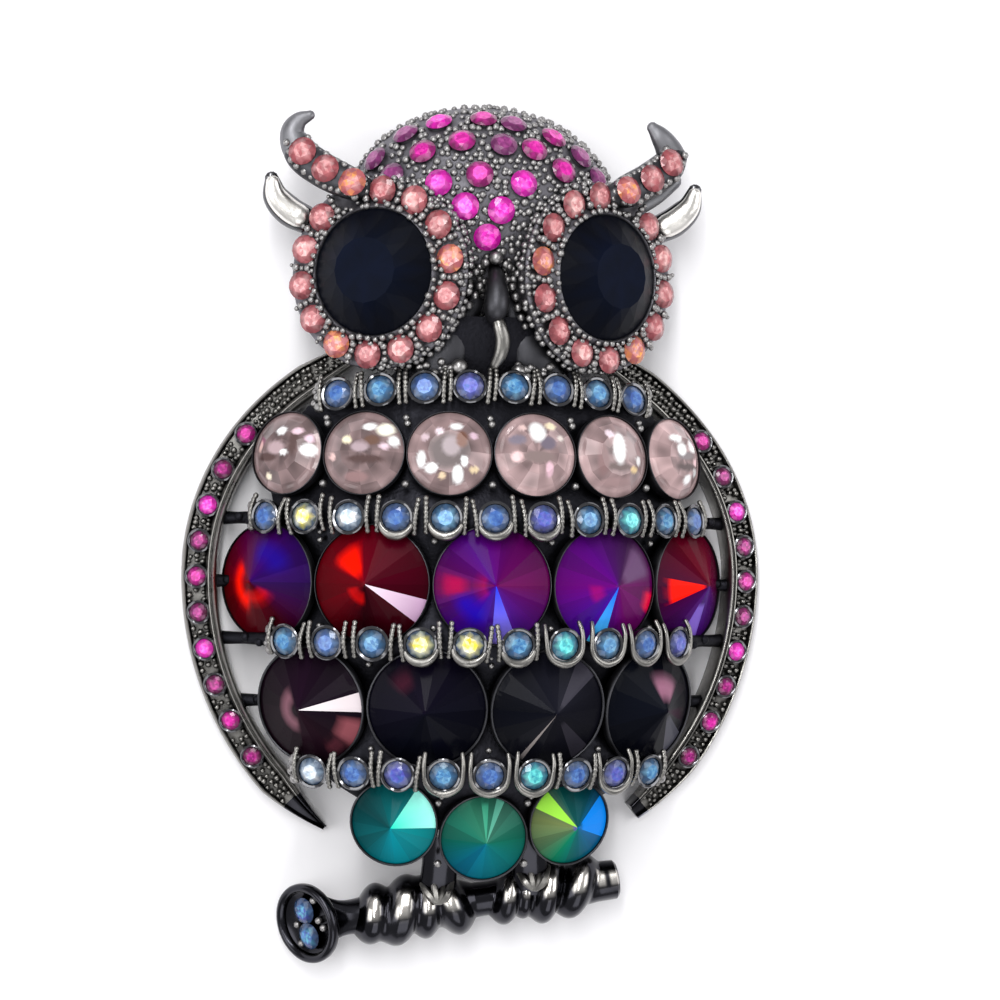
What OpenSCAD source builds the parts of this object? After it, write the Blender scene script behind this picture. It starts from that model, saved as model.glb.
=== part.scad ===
// Owl brooch: a cast gunmetal owl on a branch, set with cut glass stones.
// It lies on its back. X runs across the owl, Y from the branch to the crown, Z to the viewer.
// The flat backs of the two wing rims lie in the plane Z = 0. Sizes are in millimetres, angles in degrees.

/* [Wing rims] */
// Half of the width across the two rims
wing_half_w = 25.15; // [24.2:0.05:28]
// Height of the rims' outline above its widest line
wing_rise = 22.4; // [21:0.1:24]
// Depth of the rims' outline below its widest line
wing_fall = 27.0; // [25.5:0.1:29]
// Width of a rim from its outer edge to its inner ridge
rim_w = 3.0; // [2.8:0.05:3.6]
// Height of the inner ridge above the flat back
rim_h = 2.9; // [2.5:0.1:3.6]
// Diameter of a rim stone
rim_stone_d = 1.6; // [1.2:0.05:1.65]
// Distance between rim stones along Y
rim_stone_pitch = 3.06; // [2.5:0.02:3.3]
// Number of stones on each rim
rim_stones_n = 10; // [6:1:11]
// Angle at which the left rim ends in a point
left_end_angle = 58; // [54:1:66]
// Angle at which the right rim ends bluntly
right_end_angle = 53; // [50:1:60]

/* [Domed rows] */
// Radius of the dome from side to side
dome_r = 26.0; // [24:0.5:32]
// Height of the highest row's stones above the back
dome_h = 13.6; // [13:0.1:16]
// Height of the top row above the widest line of the rims
throat_y = 15.1; // [14:0.1:17]
// Diameter of a small blue stone
blue_d = 2.35; // [1.9:0.05:2.5]
// Diameter of a clear stone
clear_d = 6.9; // [6:0.1:7.4]
// Diameter of a red pointed stone
red_d = 9.7; // [8.6:0.1:10.2]
// Diameter of a purple pointed stone
purple_d = 9.7; // [8.6:0.1:10.4]
// Diameter of a teal pointed stone
teal_d = 7.1; // [6.2:0.1:7.6]
// Space between a stone and the metal round it
stone_gap = 0.1; // [0.08:0.01:0.16]
// Wall of a setting round a large stone
setting_wall = 0.45; // [0.35:0.05:0.6]
// Wall of a setting round a small stone
small_wall = 0.38; // [0.3:0.02:0.45]
// Thickness of the shell behind the settings
shell_t = 0.8; // [0.6:0.05:1.2]

/* [Head] */
// Height of the eyes above the top row
eye_rise = 10.1; // [9.4:0.1:11.2]
// Distance of an eye from the middle
eye_x = 9.6; // [9.3:0.1:10.5]
// Height of an eye's middle above the back
eye_z = 8.8; // [8.4:0.1:10]
// Angle by which an eye turns outwards
eye_turn = 31; // [24:1:34]
// Diameter of an eye stone
eye_d = 10.5; // [9.4:0.1:10.6]
// Radius of the circle of stones round an eye
eye_ring_r = 6.85; // [6.8:0.05:7.3]
// Diameter of a stone round an eye
brow_stone_d = 2.2; // [1.8:0.05:2.25]
// Half width of the crown dome
crown_half_w = 12.0; // [11.4:0.1:13]
// Half height of the crown dome along Y
crown_half_l = 9.3; // [8.8:0.1:10]
// Height of the crown dome above its base
crown_rise = 9.0; // [8:0.1:9.5]
// Height of the crown's middle above the eyes
crown_up = 5.9; // [5.5:0.1:6.6]
// Diameter of a crown stone
crown_stone_d = 2.1; // [1.7:0.05:2.2]
// Radius of a tuft at its root
tuft_r = 1.5; // [1.3:0.05:1.7]

/* [Perch] */
// Length of the branch from its neck to its cut end
branch_l = 22.9; // [21:0.1:25]
// Radius of the branch at its thickest toe
branch_r = 3.0; // [2.6:0.05:3.1]
// Angle by which the branch climbs to the right
branch_climb = 7.6; // [4:0.2:12]
// Distance of the branch below the last row
leg_l = 7.1; // [6.8:0.1:9]
// Radius of the branch's flared end disc
disc_r = 3.45; // [3.2:0.05:3.9]
// Angle by which the end disc turns to the left
disc_turn = 50; // [40:1:55]
// Diameter of a stone in the end disc
perch_stone_d = 2.0; // [1.6:0.05:2.1]

/* [Pin finding] */
// Length of the pin's plate
plate_l = 25; // [23.5:0.5:26]
// Width of the pin's plate
plate_w = 4.0; // [3:0.1:5]
// Thickness of the pin's plate
plate_t = 0.8; // [0.6:0.05:1]
// Diameter of the pin's stem
stem_d = 0.9; // [0.7:0.05:1.1]
// Length of the straight stem between its pivot block and its point
stem_l = 17.5; // [14:0.5:18]
// Height of the stem's axis above the back
stem_z = 1.5; // [1.2:0.1:1.8]

/* [Hidden] */

// Kinds of stone in the rows, and the cut of every kind: diameter, sides, then as shares of the
// diameter the height above the girdle, the table's width and the depth below the girdle.
BLUE = 0;
CLEAR = 1;
RED = 2;
PURPLE = 3;
TEAL = 4;
CUTS = [
    // [diameter, sides, crown, table, depth]
    [blue_d, 8, 0.13, 0.55, 0.34],
    [clear_d, 12, 0.16, 0.52, 0.36],
    [red_d, 14, 0.23, 0.05, 0.22],
    [purple_d, 14, 0.23, 0.05, 0.22],
    [teal_d, 12, 0.24, 0.06, 0.24]
];
EYE_CUT = [eye_d, 16, 0.17, 0.52, 0.24];
BROW_CUT = [brow_stone_d, 8, 0.13, 0.55, 0.34];
CROWN_CUT = [crown_stone_d, 8, 0.13, 0.55, 0.32];
RIM_CUT = [rim_stone_d, 8, 0.14, 0.55, 0.34];
PERCH_CUT = [perch_stone_d, 8, 0.13, 0.55, 0.32];

// The rows from the throat down. The step is the distance to the row above beyond the radius of the
// larger stone, and the bow is how far the row's middle lies above its ends, both as shares of blue_d.
// The height is a share of dome_h and the pitch a share of the stone's diameter.
ROWS = [
    // [kind, count, step, height, pitch, bow, lean to the crown]
    [BLUE, 8, 0.00, 0.80, 1.60, 0.30, 12],
    [CLEAR, 6, 0.64, 0.84, 1.04, 0.00, 9],
    [BLUE, 11, 0.80, 0.98, 1.74, 0.00, 4],
    [RED, 5, 0.28, 0.88, 1.03, 0.00, 0],
    [BLUE, 10, 0.02, 1.00, 1.72, 0.00, -4],
    [PURPLE, 4, 0.23, 0.79, 1.05, 0.00, -8],
    [BLUE, 9, 0.26, 0.87, 1.62, 0.00, -10],
    [TEAL, 3, 0.32, 0.64, 1.06, -0.50, -10]
];
BLUE_ROWS = [0, 2, 4, 6];
STUB_ROWS = [2, 3, 4, 5];
// The back shell under each row
SHELL = [
    // [depth below the girdles as a share of dome_h, reach as a share of the row's half length]
    [0.14, 1.30],
    [0.12, 1.20],
    [0.13, 1.03],
    [0.10, 1.15],
    [0.14, 1.04],
    [0.10, 1.19],
    [0.13, 1.04],
    [0.10, 1.28]
];
SHELL_STEPS = 7;
// Length of a small cup with its stem
small_stem = 2.0;
// Width of a setting's back, as a share of its stone's diameter
large_back = 0.62;
small_back = 0.45;
// Height of a large setting's lip above the girdle, and of the opening over a small stone's seat
lip = 0.12;
seat_rise = 0.3;
// A stub starts under the last setting of a row, at this share of the stone's diameter and this depth
stub_start = 0.35;
stub_depth = 1.4;
stub_size = [0.8, 1.0, 1.0];

// Section of a rim, from the outer foot over the stone channel and the ridge to the inner foot
RIM_SECTION = [
    // [inward share of rim_w, height share of rim_h]
    [0.00, 0.00],
    [0.00, 0.50],
    [0.09, 0.57],
    [0.14, 0.34],
    [0.67, 0.46],
    [0.71, 0.84],
    [0.83, 1.00],
    [0.96, 0.86],
    [1.00, 0.00]
];
RIDGE = 6;
// Steps of a rim above and below its widest line
RIM_UP_STEPS = 9;
RIM_DOWN_STEPS = 9;
rim_stone_u = 0.40 * rim_w;
rim_stone_z = 0.68 * rim_h;
rim_stone_lean = 18;
// Shares of a rim's section that are left at its head, at its pointed end and at its blunt end,
// and the angles over which it narrows
head_share = 0.4;
point_share = 0.16;
blunt_share = 0.55;
head_taper = 16;
end_taper = 14;
rim_top_angle = 68;
rim_first_y = 11.9;
// The rims climb to the head past this angle
rim_climb_angle = 36;
rim_climb = 0.42 * eye_z;

// Stones of the crown, charted by hand
CROWN_CHART = [
    // [share of crown_half_w, share of crown_half_l]
    [-0.05, 0.79], [0.16, 0.75], [-0.36, 0.76], [0.45, 0.64], [-0.59, 0.65],
    [-0.22, 0.56], [0.07, 0.53], [0.29, 0.50], [-0.49, 0.46], [0.65, 0.48],
    [-0.80, 0.42], [0.50, 0.32], [0.78, 0.28], [-0.70, 0.24], [-0.11, 0.24],
    [0.20, 0.17], [-0.39, 0.16], [-0.21, -0.05], [0.04, -0.08], [-0.05, -0.32]
];
crown_z = 2.5;
// The crown ends this far below the eyes' line
crown_low = 4;
crown_sides = 18;

// The stones round an eye stand in slots; the last slot is where the brow leaves the ring
EYE_SLOTS = 14;
first_slot_angle = 95;
EYE_SIDES = 22;
brow_stone_up = 0.25;
// Course of a brow and its tuft, from the eye's middle, in shares of eye_ring_r
BROW = [
    // [across, up, height, radius share of tuft_r]
    [0.14, 1.02, -0.12, 0.68],
    [0.31, 1.09, -0.16, 0.92],
    [0.63, 1.26, -0.30, 1.00],
    [0.90, 1.48, -0.42, 0.95],
    [0.97, 1.74, -0.40, 0.62],
    [0.78, 1.92, -0.34, 0.30]
];
BROW_STONES = [1, 2, 3];
// Course of a lower tuft, in the same shares
LOWER_TUFT = [
    // [across, up, height, radius share of tuft_r]
    [0.80, 0.70, -0.62, 0.80],
    [1.10, 0.84, -0.62, 0.70],
    [1.26, 1.02, -0.58, 0.48],
    [1.26, 1.28, -0.50, 0.16]
];
eye_wall = 0.3;
eye_cup_depth = 4.4;
eye_cup_back = 0.74;
eye_collar = 0.9;
eye_up = 0.55;
horn_sides = 6;
// Spheres that the beak and its keel are hulled from, in shares of eye_x from the eyes' line
BEAK = [
    // [up, height, radius, width]
    [0.02, 1.10, 0.09, 1.0],
    [-0.35, 1.24, 0.16, 1.0],
    [-0.44, 1.00, 0.20, 1.3]
];
KEEL = [
    // [up, height, radius, width]
    [-0.35, 1.21, 0.125, 1.0],
    [-0.77, 1.12, 0.075, 1.0],
    [-0.75, 0.94, 0.125, 1.0]
];
// The plate between the beak and the top row: its narrow upper edge and its wide lower edge
neck_top = [9.0, 1.0, 3.0];
neck_low = [18.0, 1.6, 2.2];
neck_top_up = -0.43 * eye_x;
neck_low_up = 0.4;
neck_top_z = 8.9;
neck_low_z = 7.7;

// The branch from its neck to its cut end: bulges where toes wrap it
BRANCH = [
    // [share of branch_l, radius share of branch_r]
    [0.00, 0.53],
    [0.06, 0.58],
    [0.09, 0.80],
    [0.14, 0.66],
    [0.18, 0.93],
    [0.22, 0.80],
    [0.27, 1.00],
    [0.33, 0.84],
    [0.39, 0.90],
    [0.46, 0.74],
    [0.50, 0.58],
    [0.56, 0.60],
    [0.61, 0.86],
    [0.66, 0.78],
    [0.72, 0.92],
    [0.78, 0.76],
    [0.83, 0.86],
    [0.88, 0.62],
    [1.00, 0.54]
];
BRANCH_SIDES = 9;
branch_z = 1.06 * branch_r;
// The branch starts this share of its length to the left of the middle
branch_start = 0.45;
// The neck between the branch and its end disc, the disc's own climb, its rim and its wall
disc_neck_l = 2.7;
disc_climb = 1.6 * branch_climb;
disc_rim = 0.5;
disc_back = 0.5;
disc_front = 0.6;
// Legs: place along X, as shares of branch_l, with the sizes of a leg's upper and lower ends
LEG_SHARES = [-0.15, 0.21];
leg_top = [3.2, 1.4, 1.8];
leg_top_low = 1.6;
leg_top_back = 2.4;
leg_foot = [2.6, 1.6, 1.8];
leg_foot_z = 0.42 * branch_r;

// Worked out from the sizes above
last_row = len(ROWS) - 1;
function kind(row) = ROWS[row][0];
function count(row) = ROWS[row][1];
function diameter(row) = CUTS[kind(row)][0];
function height(row) = ROWS[row][3] * dome_h;
function pitch(row) = ROWS[row][4] * diameter(row);
function half_row(row) = (count(row) - 1) / 2 * pitch(row);
function larger_r(row) = max(diameter(row), diameter(row - 1)) / 2;
function row_y(row) = row == 0 ? throat_y : row_y(row - 1) - larger_r(row) - ROWS[row][2] * blue_d;
function stone_s(row, i) = (i - (count(row) - 1) / 2) * pitch(row);
function bow_y(row, s) = ROWS[row][5] * blue_d * (1 - pow(s / half_row(row), 2));
function turn(s) = s / dome_r * 180 / PI;
// A point over the dome: s along the row, off the girdle plane by up
function on_row(row, s, up) = [
    (dome_r + up) * sin(turn(s)),
    row_y(row) + bow_y(row, s) + up * sin(ROWS[row][6]),
    height(row) - dome_r + (dome_r + up) * cos(turn(s))
];

eye_y = throat_y + eye_rise;
crown_y = eye_y + crown_up;
branch_y = row_y(last_row) - leg_l;
disc_x = -branch_l / 2 - disc_neck_l;
disc_y = branch_y + disc_x * sin(branch_climb);
top_y = crown_y + crown_half_l;
bottom_y = disc_y - disc_r * cos(disc_climb) - disc_front * sin(disc_turn) * sin(disc_climb);
// Moves the whole owl so that its box is centred on the origin along Y
centre_y = -(top_y + bottom_y) / 2;

function unit(v) = v / norm(v);
function rim_b(a) = a > 0 ? wing_rise : wing_fall;
function rim_out(a) = unit([cos(a) / wing_half_w, sin(a) / rim_b(a)]);
function rim_edge(a) = [wing_half_w * cos(a), rim_b(a) * sin(a)];
function rim_lift(a) =
    a < rim_climb_angle ? 0 : rim_climb * pow((a - rim_climb_angle) / (rim_top_angle - rim_climb_angle), 2);
// Point of a right hand rim: angle, inward distance, height
function rim_point(a, u, z) = let(p = rim_edge(a) - u * rim_out(a)) [p[0], p[1], z + rim_lift(a)];
// The angle at which a rim's line at inward distance u passes the height y
function rim_angle(y, u) = asin(y / (rim_b(y) - u));

// Cut stone: a table, a crown of facets, a pointed back; its girdle lies in Z = 0.
// A seat is cut with a stone that has grown: its sloped faces then stand clear by about grow.
module gem(cut, grow = 0) {
    d = cut[0];
    n = cut[1];
    up = cut[2] * d + grow;
    down = cut[4] * d + 1.2 * grow;
    wide = d + 2.6 * grow;
    hull() {
        cylinder(h = up, d1 = wide, d2 = cut[3] * d + 2 * grow, $fn = n);
        translate([0, 0, -down]) cylinder(h = down, d1 = 0, d2 = wide, $fn = n);
    }
}

// Space that holds the whole casting; its floor is the flat back of the rims
room = [4 * wing_half_w, 2.5 * (wing_rise + wing_fall), 2.5 * dome_h];

// Puts children on stone i of a row, with Z along the stone's axis
module at_row(row, i) {
    s = stone_s(row, i);
    translate(on_row(row, s, 0)) rotate([0, turn(s), 0]) rotate([-ROWS[row][6], 0, 0]) children();
}

module row_stone(row, i, grow = 0) {
    at_row(row, i) gem(CUTS[kind(row)], grow);
}

// Seat of a small stone: a cone that keeps clear of the stone's back and opens upwards
module seat(cut) {
    d = cut[0];
    down = cut[4] * d + 1.25 * stone_gap;
    h = down + seat_rise;
    translate([0, 0, -down]) cylinder(h = h, d1 = 0, d2 = h / cut[4], $fn = cut[1]);
}

// Closed cup round a large stone, narrower at its back
module large_cup(row) {
    d = diameter(row);
    n = CUTS[kind(row)][1];
    deep = CUTS[kind(row)][4] * d + setting_wall;
    translate([0, 0, -deep])
        cylinder(h = deep + lip, d1 = large_back * d, d2 = d + 2 * setting_wall, $fn = n);
}

// Small cup that widens from its stem to its rim
module small_cup(d) {
    translate([0, 0, -small_stem])
        cylinder(h = small_stem, d1 = small_back * d, d2 = d + 2 * small_wall, $fn = 8);
}

module block_at(p, size) {
    translate(p) cube(size, center = true);
}

// Curved shell behind the rows, which all the settings stand on
module back_shell() {
    swept([
        for (row = [last_row : -1 : 0])
            let(deep = SHELL[row][0] * dome_h, half = SHELL[row][1] * half_row(row))
            concat(
                [for (k = [0 : SHELL_STEPS]) on_row(row, half * (2 * k / SHELL_STEPS - 1), -deep)],
                [
                    for (k = [SHELL_STEPS : -1 : 0])
                        on_row(row, half * (2 * k / SHELL_STEPS - 1), -deep - shell_t)
                ]
            )
    ]);
}

// Short stubs that tie the ends of the rows to the rims' ridges
module stubs(side) {
    for (row = STUB_ROWS) {
        end = on_row(row, half_row(row) + diameter(row) * stub_start, -stub_depth);
        ridge = RIM_SECTION[RIDGE];
        a = rim_angle(end[1], rim_w * ridge[0]);
        foot = rim_point(a, rim_w * ridge[0], rim_h * ridge[1] / 2);
        mirror([side < 0 ? 1 : 0, 0, 0]) {
            hull() {
                block_at(end, stub_size);
                block_at(foot, stub_size);
            }
        }
    }
}

// Solid swept through a list of rings that have as many points each
module swept(rings) {
    n = len(rings[0]);
    last = (len(rings) - 1) * n;
    sides = [
        for (k = [0 : len(rings) - 2], j = [0 : n - 1])
            let(m = (j + 1) % n)
            [k * n + j, (k + 1) * n + j, (k + 1) * n + m, k * n + m]
    ];
    polyhedron(
        points = [for (ring = rings) each ring],
        faces = concat(sides, [[for (j = [0 : n - 1]) j]], [[for (j = [n - 1 : -1 : 0]) last + j]]),
        convexity = 8
    );
}

// One rim, swept along its outline from the head down; it narrows towards both ends
module rim(side) {
    low_end = side < 0 ? -left_end_angle : -right_end_angle;
    low_share = side < 0 ? point_share : blunt_share;
    function taper(s, from, over) = s + (1 - s) * from / over;
    function share(a) =
        min(1, taper(head_share, rim_top_angle - a, head_taper), taper(low_share, a - low_end, end_taper));
    mirror([side < 0 ? 1 : 0, 0, 0])
        swept([
            for (k = [-RIM_UP_STEPS : RIM_DOWN_STEPS])
                let(
                    a = k < 0 ? -rim_top_angle * k / RIM_UP_STEPS : low_end * k / RIM_DOWN_STEPS,
                    w = share(a)
                )
                [for (q = RIM_SECTION)
                    rim_point(a, (0.4 * (1 - w) + q[0] * w) * rim_w, q[1] * rim_h * (0.4 + 0.6 * w))]
        ]);
}

module rim_stones(side) {
    color("mediumvioletred") translate([0, centre_y, 0]) at_rim_stones(side) gem(RIM_CUT);
}

// Puts children on each stone of a rim
module at_rim_stones(side) {
    for (k = [0 : rim_stones_n - 1]) {
        y = rim_first_y - k * rim_stone_pitch;
        a = rim_angle(y, rim_stone_u);
        out = rim_out(a);
        mirror([side < 0 ? 1 : 0, 0, 0])
            translate(rim_point(a, rim_stone_u, rim_stone_z))
                rotate([0, 0, atan2(out[1], out[0])]) rotate([0, rim_stone_lean, 0]) children();
    }
}

module at_eye(side) {
    translate([side * eye_x, eye_y, eye_z]) rotate([0, side * eye_turn, 0]) children();
}

// Cup of an eye, with the ring that carries its stones
module eye_cup(side) {
    outer = eye_ring_r + brow_stone_d / 2 + small_wall / 2;
    at_eye(side) {
        translate([0, 0, -eye_cup_depth])
            cylinder(h = eye_cup_depth + 0.1, r1 = eye_cup_back * outer, r2 = outer, $fn = EYE_SIDES);
        cylinder(h = eye_collar, r = eye_d / 2 + eye_wall + stone_gap, $fn = EYE_SIDES);
    }
}

// Groove in which the stones round an eye sit, clear of their backs
module eye_groove(side) {
    half = brow_stone_d / 2 + 1.6 * stone_gap;
    deep = BROW_CUT[4] * brow_stone_d + 1.25 * stone_gap - brow_stone_up;
    at_eye(side)
        rotate_extrude($fn = EYE_SIDES)
            polygon([
                [eye_ring_r, -deep],
                [eye_ring_r + half, brow_stone_up],
                [eye_ring_r, brow_stone_up + 0.1],
                [eye_ring_r - half, brow_stone_up]
            ]);
}

module eye_stone(side, grow = 0) {
    at_eye(side) translate([0, 0, eye_up]) gem(EYE_CUT, grow);
}

function brow_point(side, q) = [
    side * (eye_x + q[0] * eye_ring_r),
    eye_y + q[1] * eye_ring_r,
    eye_z + q[2] * eye_ring_r
];

// Puts children on each stone of an eye's ring and of the brow beyond it
module at_brow_stones(side) {
    at_eye(side)
        for (k = [0 : EYE_SLOTS - 2])
            rotate([0, 0, 90 + side * (first_slot_angle - 90 + 360 / EYE_SLOTS * k)])
                translate([eye_ring_r, 0, brow_stone_up]) children();
    at_brow(side) children();
}

// Puts children on the stones of the brow beyond the ring
module at_brow(side) {
    for (k = BROW_STONES)
        translate(brow_point(side, BROW[k]) + [0, 0, BROW[k][3] * tuft_r * 0.92])
            rotate([-10, side * 22, 0]) children();
}

module brow_stones(side) {
    color("lightsalmon") translate([0, centre_y, 0]) at_brow_stones(side) gem(BROW_CUT);
}

// A horn of spheres joined in a chain
module horn(side, course) {
    for (k = [0 : len(course) - 2]) {
        hull() {
            horn_ball(side, course[k]);
            horn_ball(side, course[k + 1]);
        }
    }
}

module horn_ball(side, q) {
    translate(brow_point(side, q)) sphere(r = q[3] * tuft_r, $fn = horn_sides);
}

function crown_height(x, y) =
    crown_z + crown_rise * sqrt(1 - pow(x / crown_half_w, 2) - pow(y / crown_half_l, 2));

module crown() {
    intersection() {
        translate([0, crown_y, crown_z])
            scale([crown_half_w, crown_half_l, crown_rise])
                rotate([0, 0, 90]) sphere(r = 1, $fn = crown_sides);
        translate([-crown_half_w, eye_y - crown_low, crown_z - 0.6]) cube(2 * crown_half_w);
    }
}

module at_crown_stones() {
    for (q = CROWN_CHART) {
        x = q[0] * crown_half_w;
        y = q[1] * crown_half_l;
        z = crown_height(x, y);
        slope = [x / pow(crown_half_w, 2), y / pow(crown_half_l, 2), (z - crown_z) / pow(crown_rise, 2)];
        translate([x, crown_y + y, z])
            rotate([0, 0, atan2(slope[1], slope[0])])
                rotate([0, atan2(norm([slope[0], slope[1]]), slope[2]), 0])
                    children();
    }
}

// Beak with a keel, and the smooth plates that join it to the throat
module beak() {
    translate([0, eye_y, 0]) {
        beak_hull(BEAK);
        beak_hull(KEEL);
        hull() {
            block_at([0, neck_top_up, neck_top_z], neck_top);
            block_at([0, neck_low_up - eye_rise, neck_low_z], neck_low);
        }
    }
}

module beak_hull(course) {
    hull() {
        for (q = course)
            translate([0, q[0] * eye_x, q[1] * eye_x])
                scale([q[3], 1, 1]) sphere(r = q[2] * eye_x, $fn = 8);
    }
}

module branch_frame() {
    translate([0, branch_y, branch_z]) rotate([0, 0, branch_climb]) children();
}

module branch() {
    branch_frame()
        swept([
            for (q = BRANCH)
                let(r = q[1] * branch_r)
                [for (j = [0 : BRANCH_SIDES - 1])
                    let(a = 360 * j / BRANCH_SIDES)
                    [(q[0] - branch_start) * branch_l, r * cos(a), r * sin(a)]]
        ]);
}

module at_disc() {
    translate([disc_x, disc_y, branch_z]) rotate([0, 0, disc_climb]) rotate([0, -disc_turn, 0]) children();
}

module end_disc() {
    difference() {
        hull() {
            at_disc()
                translate([0, 0, -disc_back]) cylinder(h = disc_back + disc_front, r = disc_r, $fn = 20);
            branch_frame()
                translate([-branch_start * branch_l, 0, 0]) rotate([0, 90, 0])
                    cylinder(h = 0.8, r = BRANCH[0][1] * branch_r, $fn = 12);
        }
        at_disc() cylinder(h = 2, r = disc_r - disc_rim, $fn = 20);
    }
}

module at_perch_stones() {
    at_disc()
        for (side = [-1, 1])
            translate([0, side * (perch_stone_d / 2 + stone_gap), 0.25]) children();
}

module legs() {
    for (share = LEG_SHARES) {
        x = share * branch_l;
        hull() {
            block_at([x * 0.9, row_y(last_row) - leg_top_low, height(last_row) - leg_top_back], leg_top);
            block_at([x, branch_y + x * sin(branch_climb), branch_z + leg_foot_z], leg_foot);
        }
    }
}

// Pads behind the dome on which the pin's plate is soldered
pad_x = 0.34 * plate_l;
plate_top_z = stem_z + 2.3;
pin_y = row_y(1) - 0.5 * clear_d - 0.8;
pad_z = plate_top_z + stone_gap;
// Middle of the shell's thickness behind a row, at a distance x from the middle
function shell_z(row, x) =
    let(r = dome_r - SHELL[row][0] * dome_h - shell_t / 2) height(row) - dome_r + sqrt(r * r - x * x);
pad_share = (row_y(1) - pin_y) / (row_y(1) - row_y(2));
pad_top_z = (1 - pad_share) * shell_z(1, pad_x) + pad_share * shell_z(2, pad_x);

module pads() {
    for (side = [-1, 1])
        translate([side * pad_x, pin_y, pad_z])
            cylinder(h = pad_top_z - pad_z, d = plate_w * 0.7, $fn = 12);
}

// The dome's metal: cups, shell, stubs and pads
module rows_metal() {
    for (row = [0 : last_row]) {
        if (kind(row) == BLUE) {
            for (i = [0 : count(row) - 1]) at_row(row, i) small_cup(blue_d);
        } else {
            for (i = [0 : count(row) - 1]) at_row(row, i) large_cup(row);
        }
    }
    back_shell();
    stubs(-1);
    stubs(1);
    pads();
}

module head_metal() {
    crown();
    beak();
    for (side = [-1, 1]) {
        eye_cup(side);
        horn(side, BROW);
        horn(side, LOWER_TUFT);
    }
}

module perch_metal() {
    branch();
    end_disc();
    legs();
}

module casting() {
    color("dimgray")
        translate([0, centre_y, 0])
            intersection() {
                difference() {
                    union() {
                        rim(-1);
                        rim(1);
                        rows_metal();
                        head_metal();
                        perch_metal();
                    }
                    for (row = [0 : last_row], i = [0 : count(row) - 1]) {
                        if (kind(row) == BLUE) {
                            at_row(row, i) seat(CUTS[BLUE]);
                        } else {
                            row_stone(row, i, stone_gap);
                        }
                    }
                    for (side = [-1, 1]) {
                        eye_stone(side, stone_gap);
                        eye_groove(side);
                        at_brow(side) seat(BROW_CUT);
                    }
                    at_crown_stones() seat(CROWN_CUT);
                    at_perch_stones() seat(PERCH_CUT);
                }
                translate([-room[0] / 2, -room[1] / 2, 0]) cube(room);
            }
}

// Pivot block: its length and width, how far its middle stands in from the plate's end and how far it
// reaches below the stem's axis. The block and the catch end under the plate's top by the lap.
block_l = 2.4;
block_w = 2.6;
block_inset = 1.6;
block_under = 0.9;
plate_lap = 0.4;
block_x = plate_l / 2 - block_inset;
block_low = stem_z - block_under;
// Catch: its length, its wall, the width and thickness of its hook, and where they stand
catch_l = 1.8;
catch_wall = 0.6;
catch_y = 0.75;
catch_under = 0.8;
hook_t = 0.55;
hook_y = 0.9;
hook_under = 1.2;

// Pin finding: plate, pivot block, stem with its point, and a catch, in one piece
module bar_pin() {
    color("silver")
        translate([0, centre_y + pin_y, 0]) {
            translate([-plate_l / 2, -plate_w / 2, plate_top_z - plate_t])
                cube([plate_l, plate_w, plate_t]);
            translate([-block_x - block_l / 2, -block_w / 2, block_low])
                cube([block_l, block_w, plate_top_z - plate_lap - block_low]);
            translate([-block_x, 0, stem_z]) rotate([0, 90, 0]) stem(stem_l + block_l / 2, 2 * block_x + 1);
            translate([block_x - catch_l / 2, 0, 0]) catch_hook();
        }
}

// Round stem with a tapered point
module stem(straight_l, whole_l) {
    r = stem_d / 2;
    rotate_extrude($fn = 32) polygon([[0, 0], [r, 0], [r, straight_l], [0.3 * r, whole_l], [0, whole_l]]);
}

// A hook that stands on the plate and turns in below the stem
module catch_hook() {
    low = stem_z - catch_under;
    translate([0, catch_y, low]) cube([catch_l, catch_wall, plate_top_z - plate_lap - low]);
    translate([0, -hook_y, stem_z - hook_under]) cube([catch_l, hook_y + catch_y + catch_wall, hook_t]);
}

module blue_row(k) {
    row = BLUE_ROWS[k - 1];
    color("cornflowerblue")
        translate([0, centre_y, 0])
            for (i = [0 : count(row) - 1]) row_stone(row, i);
}

module large_stone(row, i, tint) {
    color(tint) translate([0, centre_y, 0]) row_stone(row, i - 1);
}

module eye(side) {
    color("black") translate([0, centre_y, 0]) eye_stone(side);
}

module crown_stones() {
    color("deeppink") translate([0, centre_y, 0]) at_crown_stones() gem(CROWN_CUT);
}

module perch_stones() {
    color("cornflowerblue") translate([0, centre_y, 0]) at_perch_stones() gem(PERCH_CUT);
}

casting();
bar_pin();
eye(-1);  // eye_left
eye(1);  // eye_right
for (i = [1 : 6]) {
    large_stone(1, i, "mistyrose");
}
for (i = [1 : 5]) {
    large_stone(3, i, "crimson");
}
for (i = [1 : 4]) {
    large_stone(5, i, "indigo");
}
for (i = [1 : 3]) {
    large_stone(7, i, "teal");
}
for (i = [1 : 4]) {
    blue_row(i);
}
crown_stones();
brow_stones(-1);  // brow_stones_left
brow_stones(1);  // brow_stones_right
rim_stones(-1);  // rim_stones_left
rim_stones(1);  // rim_stones_right
perch_stones();
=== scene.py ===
"""Visible pieces of an owl brooch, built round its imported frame.

The brooch is a blackened zinc casting set with foiled glass stones. Lengths are millimetres here,
and one factor takes them to metres when a mesh is made. X runs across the owl, Y from its branch to
its crown, and Z to the viewer; the rims' flat backs lie in the plane Z = 0.
"""

import logging
import math
from dataclasses import dataclass, field
from enum import Enum
from typing import Sequence

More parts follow.
